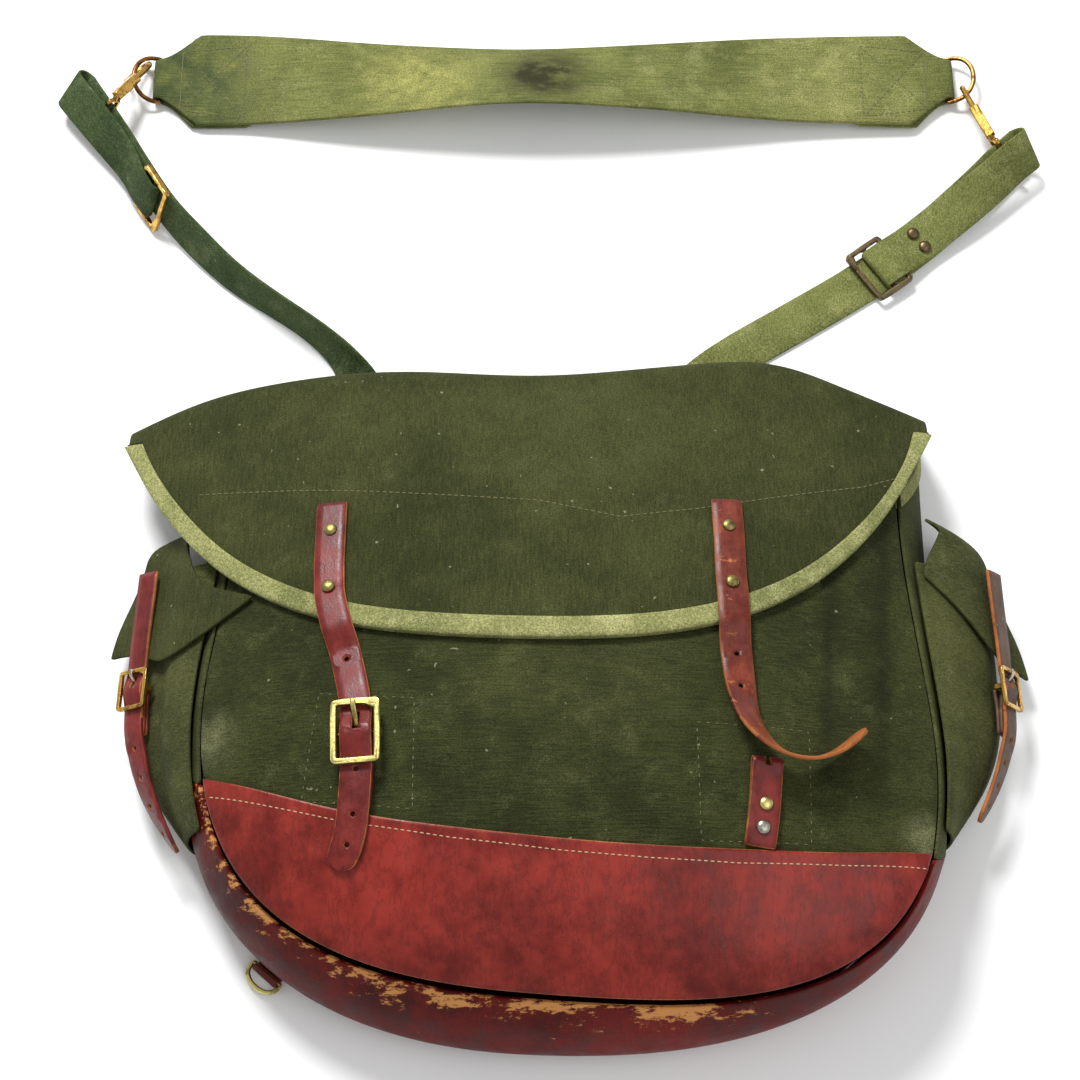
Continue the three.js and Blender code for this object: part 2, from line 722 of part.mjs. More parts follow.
function pocketBody(pocket) {
  const rows = 7;
  const across = pocket.form.map((cell) => cell.v);
  const order = pocket.side < 0 ? across : across.slice().reverse();
  const grid = order.map((v) => {
    const row = [];
    for (let i = 0; i <= rows; i += 1) row.push(pocketPoint(pocket, mix(-pocketDrop, pocketUp, i / rows), v));
    return row;
  });
  return sheetSolid(grid.map((row) => row.slice().reverse()), canvasWall);
}

const flapTuck = 0.16; // the pocket flap's top slips this share back under the main flap

// Flap over the pocket's mouth: rolled back onto the gusset above, hanging free below.
function pocketFlap(pocket) {
  const flapRows = [0, 0.2, 0.4, 0.6, 0.8, 0.92, 1];
  const lift = pocket.lift * canvasWall;
  const order = pocket.side < 0 ? pocket.flap : pocket.flap.slice().reverse();
  const grid = order.map((cell) => flapRows.map((t) => {
    const y = mix(cell.hang * pocketUp, pocketFlapUp, t);
    const roll = Math.max(0, (t - 0.8) / 0.2) ** 2;
    const v = cell.v * (1 - flapTuck * ease(t));
    const out = lookUp(pocket.form, 'v', 'out', v);
    const flare = cell.flare * (1 - ease(t * 1.3));
    const p = pocketPoint(pocket, y, v, flare - out * roll * 0.8);
    p.x += pocket.side * lift;
    p.z += lift;
    const lapped = new THREE.Vector3(pocket.side * (sideHalf(y) - cell.over * pocketUp), y, 0);
    lapped.z = frontHeight(lapped.x, y) + lift + 2 * seat;
    return cell.over > 0 ? p.lerp(lapped, 1 - ease(t * 4)) : p;
  }));
  return sheetSolid(grid.map((row) => row.slice().reverse()), canvasWall);
}

for (const [name, pocket] of Object.entries(pockets)) {
  addPiece(`pocket_${name}`, 'canvas', pocketBody(pocket));
  addPiece(`pocket_flap_${name}`, 'canvas', pocketFlap(pocket));
}

// Straps and their fittings

// Splits a centre line so that it can follow a curved path.
function finely(rows, step) {
  const line = [new THREE.Vector2(...rows[0])];
  for (let i = 1; i < rows.length; i += 1) {
    const [s0, h0] = rows[i - 1];
    const [s1, h1] = rows[i];
    const count = Math.max(1, Math.ceil(Math.hypot(s1 - s0, h1 - h0) / step));
    for (let k = 1; k <= count; k += 1) line.push(new THREE.Vector2(mix(s0, s1, k / count), mix(h0, h1, k / count)));
  }
  return line;
}

// Rows of an arc in (s, h) about a centre, between two angles in degrees.
function arcRows(centre, radius, from, to, count) {
  return Array.from({ length: count + 1 }, (unused, i) => {
    const angle = THREE.MathUtils.degToRad(mix(from, to, i / count));
    return [centre[0] + radius * Math.cos(angle), centre[1] + radius * Math.sin(angle)];
  });
}

// Half width of a strap whose end is rounded off.
function roundEnd(half, end) {
  return (s) => {
    const into = Math.max(0, half - Math.abs(end - s));
    return s > end - half ? Math.max(half * 0.2, Math.sqrt(Math.max(0, half ** 2 - into ** 2))) : half;
  };
}

const tipRows = [0.75, 0.45, 0.2, 0.06, 0];

function holeTool(frame, radius, rise) {
  const tool = new THREE.CylinderGeometry(radius, radius, 6 * strapWall, 6).rotateX(Math.PI / 2);
  return placeAt(tool, frame, 0, rise);
}

function rivetCap(radius) {
  const dome = [[0, 0], [1, 0], [0.92, 0.24], [0.5, 0.43], [0, 0.48]];
  const profile = dome.map(([x, y]) => new THREE.Vector2(x * radius, y * radius));
  return new THREE.LatheGeometry(profile, 8).rotateX(Math.PI / 2);
}

function roundedRectangle(width, length, corner, Kind) {
  const shape = new Kind();
  const x = width / 2;
  const y = length / 2;
  shape.moveTo(-x + corner, -y);
  shape.lineTo(x - corner, -y);
  shape.absarc(x - corner, -y + corner, corner, -Math.PI / 2, 0, false);
  shape.lineTo(x, y - corner);
  shape.absarc(x - corner, y - corner, corner, 0, Math.PI / 2, false);
  shape.lineTo(-x + corner, y);
  shape.absarc(-x + corner, y - corner, corner, Math.PI / 2, Math.PI, false);
  shape.lineTo(-x, -y + corner);
  shape.absarc(-x + corner, -y + corner, corner, Math.PI, 1.5 * Math.PI, false);
  return shape;
}

// Flat frame with one opening, its underside at height 0.
function frameRing(width, length, bar) {
  const shape = roundedRectangle(width, length, bar, THREE.Shape);
  shape.holes.push(roundedRectangle(width - 2 * bar, length - 2 * bar, bar / 3, THREE.Path));
  return new THREE.ExtrudeGeometry(shape, { depth: bar, bevelEnabled: false, curveSegments: 2 });
}

// Centre-bar buckle, its chape and tongue. Heights stand off the cloth below.
function buckleSet(prefix, frameAt, at, half, length, bar, chapeEnd, hasFrame = true) {
  const chapeWall = 0.85 * strapWall;
  const barRadius = 0.5 * bar;
  const loop = barRadius + seat + chapeWall / 2;
  const low = seat + chapeWall / 2;
  const barUp = low + loop;
  const upper = low + chapeWall + 0.75 * seat;
  const rows = [[chapeEnd, low], [at + 1, low], ...arcRows([at, barUp], loop, 270, 90, 4)];
  rows.push([at + 1, barUp + loop], [at + 4 * bar, upper], [chapeEnd, upper]);
  const slot = new THREE.BoxGeometry(bar * 1.5, bar * 4.4, bar * 6);
  const chape = strapSolid(frameAt, finely(rows, 20), chapeWall, half - 0.3);
  addPiece(`chape_${prefix}`, 'leather', cutBy(chape, placeAt(slot, frameAt(at - bar), 0, barUp)));
  const strapOver = barUp + loop + chapeWall / 2 + seat;
  const frameUnder = upper + chapeWall / 2 + strapWall + 2.5 * seat;
  const result = { upper: upper + chapeWall / 2, strapOver, frameUnder, barUp };
  if (!hasFrame) return result;
  const inner = half + 1.6;
  const width = 2 * (inner + bar);
  const ring = placeAt(frameRing(width, length, bar), frameAt(at), 0, frameUnder);
  const axle = placeAt(new THREE.CylinderGeometry(barRadius, barRadius, width - bar, 8).rotateZ(Math.PI / 2),
    frameAt(at), 0, barUp);
  const legHeight = frameUnder + bar / 2 - barUp + barRadius;
  const leg = (sign) => placeAt(new THREE.BoxGeometry(bar * 0.9, bar * 1.3, legHeight), frameAt(at), 0,
    barUp - barRadius + legHeight / 2, sign * (inner + bar / 2));
  addPiece(`buckle_${prefix}`, 'brass', joined(ring, axle, leg(-1), leg(1)));
  const tongueWall = 0.5 * bar;
  const turn = barRadius + seat / 2 + tongueWall / 2;
  const tip = at - length / 2 + bar / 2;
  const top = frameUnder + bar + seat / 2 + tongueWall / 2;
  const tongueRows = [...arcRows([at, barUp], turn, 60, -150, 6), [at - 1.25 * bar, barUp + barRadius]];
  tongueRows.push([at - 2.2 * bar, frameUnder - 0.2 * bar], [tip + 1.4 * bar, top + seat], [tip - 0.3 * bar, top + seat]);
  const tongue = strapSolid(frameAt, finely(tongueRows, 20), tongueWall, 0.42 * bar);
  addPiece(`tongue_${prefix}`, prefix.startsWith('pocket') ? 'steel' : 'brass', tongue);
  return result;
}

function tongueHole(frameAt, at, bar, rise) {
  return placeAt(new THREE.BoxGeometry(1.3 * bar, 3.6 * bar, 8 * strapWall), frameAt(at - 2.1 * bar), 0, rise);
}

// Path over the front, given by points as shares of halfBag.
function frontPath(rows) {
  const points = rows.map(([x, y]) => new THREE.Vector3(x * halfBag, y * halfBag, 0));
  points.forEach((p) => {
    p.z = frontHeight(p.x, p.y);
  });
  const dense = new THREE.CatmullRomCurve3(points, false, 'centripetal').getSpacedPoints(40);
  dense.forEach((p) => {
    p.z = frontHeight(p.x, p.y);
  });
  return new THREE.CatmullRomCurve3(dense, false, 'centripetal');
}

function reachOf(curve, y) {
  return curve.getLength() * solveFor(y, (t) => curve.getPointAt(t).y);
}

// Lower edge of the flap at a place x.
function flapEdgeAt(x) {
  const half = flapWidth / 2;
  const share = solveFor(x, (t) => lookUp(flapSections, 'across', 'edgeX', t) * half);
  return lookUp(flapSections, 'across', 'edgeY', share) * ridgeUp;
}

// Left closure strap, buckled
const leftStrapPlaces = [
  [-0.64, 0.5], [-0.64, 0.41], [-0.635, 0.23], [-0.59, 0.05], [-0.56, -0.07],
  [-0.548, -0.15], [-0.548, -0.34], [-0.56, -0.45], [-0.59, -0.53],
];
const rivetUps = [0.415, 0.237];
const buckleDown = 0.185;
const leftPath = frontPath(leftStrapPlaces);
const leftFrames = framesAlong(leftPath, (t, p) => frontUp(p.x, p.y));
const leftLength = leftPath.getLength();
const halfStrap = strapWidth / 2;
const buckleAt = reachOf(leftPath, -buckleDown * halfBag);
const leatherEdgeLeft = -leatherEdge[2].drop * seamDrop;
const leatherEdgeRight = -leatherEdge[4].drop * seamDrop;
const leftSet = buckleSet('left', leftFrames, buckleAt, halfStrap, frameLength, frameBar,
  reachOf(leftPath, leatherEdgeLeft + 8 * seat));

function strapOnFlap(flapEdge) {
  const onFlap = flapTop + seat + strapWall / 2;
  const onTape = tapeTop + seat + strapWall / 2;
  return [[0, onFlap], [flapEdge - 2.2 * tapeWidth, onFlap], [flapEdge - 1.6 * tapeWidth, onTape + seat],
    [flapEdge + 4, onTape + 2 * seat]];
}

function leftStrap() {
  const edge = reachOf(leftPath, flapEdgeAt(leftStrapPlaces[3][0] * halfBag));
  const half = strapWall / 2;
  const onChape = leftSet.upper + seat + half;
  const reach = frameLength / 2;
  const leatherAt = reachOf(leftPath, leatherEdgeLeft);
  const onLeather = Math.max(leatherTop + 1.5 * seat, leftSet.upper - 1) + half;
  const rows = strapOnFlap(edge);
  rows.push([edge + 15, 2.5 * seat + half], [buckleAt - reach - 1, onChape - 1], [buckleAt - 0.6 * reach, onChape]);
  rows.push([buckleAt - 2.5, leftSet.strapOver + half], [buckleAt + 2.5, leftSet.strapOver + half]);
  rows.push([buckleAt + 0.7 * reach, onChape], [leatherAt, onChape + seat], [leatherAt + 6, onLeather + seat]);
  tipRows.forEach((share) => rows.push([leftLength - share * halfStrap, onLeather]));
  const strap = strapSolid(leftFrames, finely(rows, 11), strapWall, roundEnd(halfStrap, leftLength));
  const holes = [0.03, -0.28, -0.395, -0.47].map((share) => {
    const place = leftFrames(reachOf(leftPath, share * halfBag));
    return holeTool(place, holeRadius, 4 * strapWall / 2);
  });
  return cutBy(strap, tongueHole(leftFrames, buckleAt, frameBar, onChape), ...holes);
}
addPiece('strap_left', 'leather', leftStrap());

// Right closure strap: its loose end twists onto its edge and curls to the right
const rightStrapPlaces = [
  { x: 0.433, y: 0.5, lift: 0, tilt: 0 },
  { x: 0.436, y: 0.41, lift: 0, tilt: 0 },
  { x: 0.436, y: 0.23, lift: 0, tilt: 0 },
  { x: 0.44, y: 0.09, lift: 0, tilt: 0 },
  { x: 0.445, y: 0.03, lift: 0.12, tilt: -6 },
  { x: 0.45, y: -0.06, lift: 0.28, tilt: -22 },
  { x: 0.462, y: -0.15, lift: 0.55, tilt: -42 },
  { x: 0.5, y: -0.22, lift: 0.85, tilt: -60 },
  { x: 0.56, y: -0.262, lift: 0.92, tilt: -70 },
  { x: 0.63, y: -0.268, lift: 0.82, tilt: -72 },
  { x: 0.71, y: -0.235, lift: 0.66, tilt: -72 },
  { x: 0.78, y: -0.17, lift: 0.6, tilt: -70 },
];

const rightPath = new THREE.CatmullRomCurve3(rightStrapPlaces.map((row) => {
  const x = row.x * halfBag;
  const y = row.y * halfBag;
  return new THREE.Vector3(x, y, frontHeight(x, y) + row.lift * strapWidth);
}), false, 'centripetal');
const rightLength = rightPath.getLength();

// Tilt of a path at a share of its length, from a table with a row for each of the path's points.
function tiltOf(rows, path) {
  const reach = [0];
  rows.slice(1).forEach((row, i) => reach.push(reach[i] + path.points[i].distanceTo(path.points[i + 1])));
  const marks = rows.map((row, i) => ({ at: reach[i] / reach[rows.length - 1], tilt: row.tilt }));
  return (t) => lookUp(marks, 'at', 'tilt', t);
}
const rightTilt = tiltOf(rightStrapPlaces, rightPath);
const rightFrames = framesAlong(rightPath, (t, p) => {
  const flatShare = Math.max(0, 1 + rightTilt(t) / 20);
  return tiltedUp(rightPath, rightTilt)(t).lerp(frontUp(p.x, p.y), flatShare);
});

function rightStrap() {
  const edge = reachOf(rightPath, flapEdgeAt(rightStrapPlaces[3].x * halfBag));
  const half = strapWall / 2;
  const rows = strapOnFlap(edge);
  rows.push([edge + 14, 2.5 * seat + half], [edge + 24, half]);
  tipRows.forEach((share) => rows.push([rightLength - share * halfStrap, half]));
  const strap = strapSolid(rightFrames, finely(rows, 12), strapWall, roundEnd(halfStrap, rightLength));
  const holes = [0.035, -0.06].map((share) => holeTool(rightFrames(reachOf(rightPath, share * halfBag)), holeRadius, half));
  const curled = [0.72, 0.82, 0.92].map((share) => holeTool(rightFrames(share * rightLength), holeRadius, half));
  return cutBy(strap, ...holes, ...curled);
}
addPiece('strap_right', 'leather', rightStrap());

// Right chape, whose buckle is gone: an empty loop with a torn slot
const chapePath = frontPath([[0.515, -0.2], [0.505, -0.37], [0.485, -0.5]]);
const chapeFrames = framesAlong(chapePath, (t, p) => frontUp(p.x, p.y));
const chapeTopAt = reachOf(chapePath, -0.262 * halfBag);
const chapeEndAt = reachOf(chapePath, leatherEdgeRight + 2 * seat + 1);
const rightSet = buckleSet('right', chapeFrames, chapeTopAt, halfStrap, frameLength, frameBar * 0.55, chapeEndAt, false);

// Rivets of the closure straps and of the right chape
const onFlapTop = flapTop + seat + strapWall + seat / 2;
[['left', leftPath, leftFrames], ['right', rightPath, rightFrames]].forEach(([name, path, frames]) => {
  rivetUps.forEach((up, i) => {
    const rise = onFlapTop + i * (tapeTop - flapTop + 1.5 * seat);
    const cap = placeAt(rivetCap(rivetRadius), frames(reachOf(path, up * halfBag)), 0, rise);
    addPiece(`rivet_${name}_${i + 1}`, 'brass', cap);
  });
});
[['brass', -0.372], ['steel', -0.432]].forEach(([metal, down]) => {
  const place = chapeFrames(reachOf(chapePath, down * halfBag));
  addPiece(`chape_rivet_${metal}`, metal, placeAt(rivetCap(rivetRadius), place, 0, rightSet.upper + seat / 2));
});

// Pocket straps: sewn under the main flap, over the pocket's flap, through a buckle and down the pocket
const pocketBuckleUp = 8; // buckle's centre above the origin
const pocketFrameLength = 22;
const pocketBar = 2;
const strapTopUp = 74;

function pocketStrap(name, pocket) {
  const half = pocketStrapWidth / 2;
  const tip = -pocket.tipDrop * pocketDrop;
  const points = [];
  for (let i = 0; i <= 14; i += 1) points.push(pocketPoint(pocket, mix(strapTopUp, tip, i / 14), pocket.strapV));
  const curve = new THREE.CatmullRomCurve3(points, false, 'centripetal');
  const frames = framesAlong(curve, (t, p) => {
    const low = pocketPoint(pocket, p.y, pocket.strapV - 0.07);
    const high = pocketPoint(pocket, p.y, pocket.strapV + 0.07);
    return high.sub(low).cross(curve.getTangentAt(t)).multiplyScalar(pocket.side).normalize();
  });
  const length = curve.getLength();
  const at = reachOf(curve, pocketBuckleUp);
  const hem = reachOf(curve, pocket.flap[1].hang * pocketUp);
  const offForm = pocket.clear;
  const framesOff = (s) => {
    const frame = frames(s);
    frame.origin.addScaledVector(frame.up, offForm);
    return frame;
  };
  const set = buckleSet(`pocket_${name}`, framesOff, at, half, pocketFrameLength, pocketBar,
    at + 1.1 * pocketFrameLength);
  const wall = strapWall / 2;
  const onFlap = 2 * canvasWall + 6 * seat + wall;
  const onChape = set.upper + seat + wall;
  const reach = pocketFrameLength / 2;
  const rows = [[0, onFlap], [Math.min(hem, at - reach - 4), onFlap], [at - 0.7 * reach, onChape]];
  rows.push([at - 2, set.strapOver + wall], [at + 2, set.strapOver + wall], [at + 0.7 * reach, onChape]);
  rows.push([at + 1.1 * pocketFrameLength, onChape], [at + 1.1 * pocketFrameLength + 8, onChape - 1.5]);
  tipRows.forEach((share) => rows.push([length - share * half, onChape - 1.5]));
  const holes = [0.25, 0.45, 0.65, 0.85].map((share) => {
    return holeTool(framesOff(mix(at + reach, length, share)), holeRadius, onChape);
  });
  const strap = strapSolid(framesOff, finely(rows, 16), strapWall, roundEnd(half, length));
  const slit = tongueHole(framesOff, at, pocketBar, onChape);
  addPiece(`strap_pocket_${name}`, 'leather', cutBy(strap, slit, ...holes));
}
for (const [name, pocket] of Object.entries(pockets)) pocketStrap(name, pocket);

// Wires of round section bent through points lying in one plane
function wireRings(points, normal, radius, sides, isClosed) {
  const count = points.length;
  const near = (i) => points[isClosed ? (i + count) % count : Math.min(count - 1, Math.max(0, i))];
  return points.map((p, i) => {
    const way = near(i + 1).clone().sub(near(i - 1)).normalize();
    const side = new THREE.Vector3().crossVectors(way, normal).normalize();
    return Array.from({ length: sides }, (unused, k) => {
      const angle = 2 * Math.PI * k / sides;
      return p.clone().addScaledVector(side, radius * Math.cos(angle)).addScaledVector(normal, radius * Math.sin(angle));
    });
  });
}

function openWire(points, normal, radius, sides) {
  const rings = wireRings(points, normal, radius, sides, false);
  return loftSolid(rings, Array.from({ length: sides - 2 }, (unused, k) => [0, k + 1, k + 2]));
}

function closedWire(points, normal, radius, sides) {
  const rings = wireRings(points, normal, radius, sides, true);
  const triangles = [];
  rings.forEach((unused, i) => {
    const next = (i + 1) % rings.length;
    for (let k = 0; k < sides; k += 1) {
      const far = (k + 1) % sides;
      const [a, b, c, d] = [i * sides + k, i * sides + far, next * sides + far, next * sides + k];
      triangles.push(a, b, c, a, c, d);
    }
  });
  return closedSolid(rings.flat(), triangles);
}

// D-shaped ring: a straight bar along one direction, its bow reaching out along another.
function ringOf(centre, along, out, bar, reach, wire) {
  const bowSteps = 12;
  const points = [0.5, -0.5].map((share) => centre.clone().addScaledVector(along, share * bar));
  for (let i = 0; i <= bowSteps; i += 1) {
    const angle = Math.PI * i / bowSteps;
    const p = centre.clone().addScaledVector(along, -0.5 * bar * Math.cos(angle));
    points.push(p.addScaledVector(out, wire + (reach - wire) * Math.sin(angle) ** 0.8));
  }
  return closedWire(points, new THREE.Vector3().crossVectors(out, along).normalize(), wire, 6);
}

// Shoulder pad. One row per place along it: aside and rise are shares of padWidth, tilt is in degrees.
const padPlaces = [
  { along: 0.0, aside: 0.02, rise: 0.1, tilt: 0 },
  { along: 0.12, aside: 0.02, rise: 0.1, tilt: 1 },
  { along: 0.28, aside: -0.04, rise: 0.2, tilt: 16 },
  { along: 0.45, aside: -0.07, rise: 0.31, tilt: 28 },
  { along: 0.6, aside: -0.05, rise: 0.27, tilt: 22 },
  { along: 0.8, aside: 0.0, rise: 0.14, tilt: 6 },
  { along: 1.0, aside: 0.02, rise: 0.1, tilt: 0 },
];
const padShift = -6; // the pad's middle lies this far to the side of the origin
const padPath = new THREE.CatmullRomCurve3(padPlaces.map((row) => new THREE.Vector3(
  padShift + (row.along - 0.5) * padLength, padUp + row.aside * padWidth, row.rise * padWidth)), false, 'centripetal');
const padTilt = tiltOf(padPlaces, padPath);
const padFrames = framesAlong(padPath, tiltedUp(padPath, (t) => -padTilt(t)));
const padReach = padPath.getLength();
const padTurn = ringWire + seat + padWall / 2; // radius of the pad's turn round the ring's bar
const barIn = padTurn + padWall / 2; // the ring's bar lies this far inside the pad's end
const barUnder = (padWall + seat) / 2;

function padBand() {
  const flatFrom = barIn + 3 * padWall;
  const hemAt = -2 * barUnder;
  const turnBack = arcRows([barIn, -barUnder], padTurn, 270, 90, 6);
  const rows = [[padHem, hemAt], [flatFrom, hemAt - seat], ...turnBack, [flatFrom, 0]];
    rows.push([padReach - flatFrom, 0], ...turnBack.reverse().map(([s, h]) => [padReach - s, h]));
  rows.push([padReach - flatFrom, hemAt - seat], [padReach - padHem, hemAt]);
  return rows;
}

// Half width of the pad: narrow at the rings, cut away at a slant to its full width.
function padHalf(s) {
  const narrow = ringBar / 2 - ringWire - seat;
  const beyond = Math.max(0, Math.min(s, padReach - s) - 2 * barIn);
  return Math.min(padWidth / 2, narrow + 1.2 * beyond);
}
addPiece('shoulder_pad', 'webbing', strapSolid(padFrames, finely(padBand(), 16), padWall, padHalf));

const ringTilt = 24;
const rings = {};
[['left', barIn, -1], ['right', padReach - barIn, 1]].forEach(([name, at, way]) => {
  const frame = padFrames(at);
  const out = new THREE.Vector3().crossVectors(frame.up, frame.across).multiplyScalar(way);
  out.applyAxisAngle(frame.across, way * THREE.MathUtils.degToRad(ringTilt));
  const centre = frame.origin.clone().addScaledVector(frame.up, -barUnder);
  addPiece(`pad_ring_${name}`, 'brass', ringOf(centre, frame.across, out, ringBar, ringReach, ringWire));
  rings[name] = centre;
});

// Lower webbing. x and y run from the bag's top edge (0) to the hook's root (1), lift is a share of webWidth.
const webs = {
  left: {
    side: -1,
    startX: -0.575, // where it leaves the back, a share of halfBag
    root: [-0.387, -0.609, 0.468], // hook's root from the ring's bar, shares of hookLength
    bow: [-0.1, 0.25, 0.068], // hook's bow from the ring's bar
    roll: 46, // the hook lies rolled this far on its side
    raised: 1, // which edge stands up, +1 for the right-hand one
    slideY: 0.71,
    eyeBack: 1.1, // the eye holds the webbing this far before its turn, a share of webWidth
    slideMetal: 'brass',
    places: [
      { x: 0.0, y: 0.0, lift: 0.036, tilt: 0 },
      { x: 0.004, y: 0.05, lift: 0.036, tilt: 0 },
      { x: 0.04, y: 0.11, lift: 0.26, tilt: -28 },
      { x: 0.107, y: 0.182, lift: 0.5, tilt: -62 },
      { x: 0.215, y: 0.264, lift: 0.53, tilt: -76 },
      { x: 0.349, y: 0.341, lift: 0.53, tilt: -78 },
      { x: 0.531, y: 0.444, lift: 0.52, tilt: -70 },
      { x: 0.692, y: 0.567, lift: 0.55, tilt: -64 },
      { x: 0.793, y: 0.654, lift: 0.62, tilt: -66 },
      { x: 0.886, y: 0.761, lift: 0.62, tilt: -64 },
      { x: 0.987, y: 0.874, lift: 0.57, tilt: -54 },
      { x: 1.068, y: 0.964, lift: 0.58, tilt: -47 },
      { x: 1.189, y: 1.099, lift: 0.56, tilt: -44 },
    ],
  },
  right: {
    side: 1,
    startX: 0.33,
    root: [0.455, -1.021, 0.383],
    bow: [0.138, -0.166, 0.187],
    roll: 66,
    raised: -1,
    slideY: 0.55,
    eyeBack: 0.6,
    slideMetal: 'bronze',
    places: [
      { x: 0.0, y: 0.0, lift: 0.036, tilt: 0 },
      { x: 0.006, y: 0.05, lift: 0.036, tilt: 0 },
      { x: 0.05, y: 0.13, lift: 0.05, tilt: 0 },
      { x: 0.161, y: 0.226, lift: 0.06, tilt: 1 },
      { x: 0.355, y: 0.356, lift: 0.07, tilt: 1 },
      { x: 0.543, y: 0.482, lift: 0.07, tilt: 1 },
      { x: 0.634, y: 0.55, lift: 0.08, tilt: 2 },
      { x: 0.742, y: 0.636, lift: 0.13, tilt: 6 },
      { x: 0.86, y: 0.744, lift: 0.27, tilt: 20 },
      { x: 0.978, y: 0.863, lift: 0.43, tilt: 34 },
      { x: 1.049, y: 0.946, lift: 0.52, tilt: 40 },
      { x: 1.107, y: 0.994, lift: 0.52, tilt: 42 },
    ],
  },
};

// Heights off the running layer's centre where the webbing is doubled round the slide
const tailUp = webWall + seat;
const slideUnder = tailUp + webWall / 2 + seat;
const slideTopLayer = slideUnder + slideBar + seat + webWall / 2;
const slideTurn = slideBar / 2 + seat + webWall / 2;
const rivetPast = slideLength / 2 + 17;
const secondLayer = 2 * tailUp;

function webBand(length, slideAt) {
  const rows = [[0, 0], [length - webLoop, 0], ...arcRows([length - webLoop, webLoop], webLoop, 270, 450, 6)];
  rows.push([slideAt + 1.7 * webTail, 1.4 * webLoop], [slideAt + webTail + 3, secondLayer + seat]);
  rows.push([slideAt + rivetPast - 5, secondLayer], [slideAt + slideLength / 2 + 1, slideTopLayer]);
  rows.push([slideAt + 1, slideTopLayer]);
  rows.push(...arcRows([slideAt, slideUnder + slideBar / 2], slideTurn, 90, 270, 6), [slideAt + webTail, tailUp]);
  return rows;
}

// Hook in its own plane: across is a share of hookSpread, along a share of hookLength.
const hookBend = [
  { across: 0.0, along: 0.3 },
  { across: -0.03, along: 0.7 },
  { across: 0.04, along: 0.86 },
  { across: 0.3, along: 0.96 },
  { across: 0.58, along: 0.965 },
  { across: 0.85, along: 0.89 },
  { across: 0.97, along: 0.78 },
  { across: 1.0, along: 0.62 },
];
const gateRoot = new THREE.Vector2(0.27 * hookSpread, 0.17 * hookLength);
const barrelRadius = gateWidth / 2;
const boreRadius = pinRadius + 0.75 * seat;

function hookSolid() {
  const spine = hookBend.map((row) => new THREE.Vector3(row.across * hookSpread, row.along * hookLength, 0));
  const bend = new THREE.CatmullRomCurve3(spine, false, 'centripetal').getSpacedPoints(12);
  const wire = openWire(bend, new THREE.Vector3(0, 0, 1), hookWire, 6);
  const outline = [[-0.12, -0.02], [0.12, -0.02], [0.42, 0.09], [0.5, 0.17], [0.42, 0.25], [0.14, 0.5], [-0.14, 0.5]];
  const plate = new THREE.Shape(outline.map(([x, y]) => new THREE.Vector2(x * hookSpread, y * hookLength)));
  const body = new THREE.ExtrudeGeometry(plate, { depth: hookBody, bevelEnabled: false }).translate(0, 0, -hookBody / 2);
  const slotFrom = gateRoot.x - barrelRadius - seat;
  const slot = new THREE.BoxGeometry(hookSpread, hookLength, gateWidth + 2 * seat)
    .translate(slotFrom + hookSpread / 2, gateRoot.y - barrelRadius - seat + hookLength / 2, 0);
  const pin = new THREE.CylinderGeometry(pinRadius, pinRadius, hookBody - seat, 8).rotateX(Math.PI / 2)
    .translate(gateRoot.x, gateRoot.y, 0);
  const root = new THREE.SphereGeometry(hookWire, 6, 5);
  return joined(cutBy(body, slot), wire, pin, root);
}

// Gate: a thin leaf on a barrel, closing on the inner side of the hook's tip.
function gateSolid() {
  const tip = hookBend[hookBend.length - 1];
  const end = new THREE.Vector2(tip.across * hookSpread - hookWire - gateWall / 2 - 0.75 * seat,
    tip.along * hookLength + hookWire);
  const way = end.sub(gateRoot);
  const reach = way.length();
  const ring = new THREE.Shape().absarc(0, 0, barrelRadius, 0, 2 * Math.PI, false);
  ring.holes.push(new THREE.Path().absarc(0, 0, boreRadius, 0, 2 * Math.PI, true));
  const barrel = new THREE.ExtrudeGeometry(ring, { depth: gateWidth, bevelEnabled: false, curveSegments: 6 })
    .translate(0, 0, -gateWidth / 2);
  const from = (barrelRadius + boreRadius) / 2;
  const leaf = new THREE.BoxGeometry(gateWall, reach - from, gateWidth).translate(0, (reach + from) / 2, 0);
  return joined(barrel, leaf).rotateZ(Math.atan2(-way.x, way.y)).translate(gateRoot.x, gateRoot.y, 0);
}

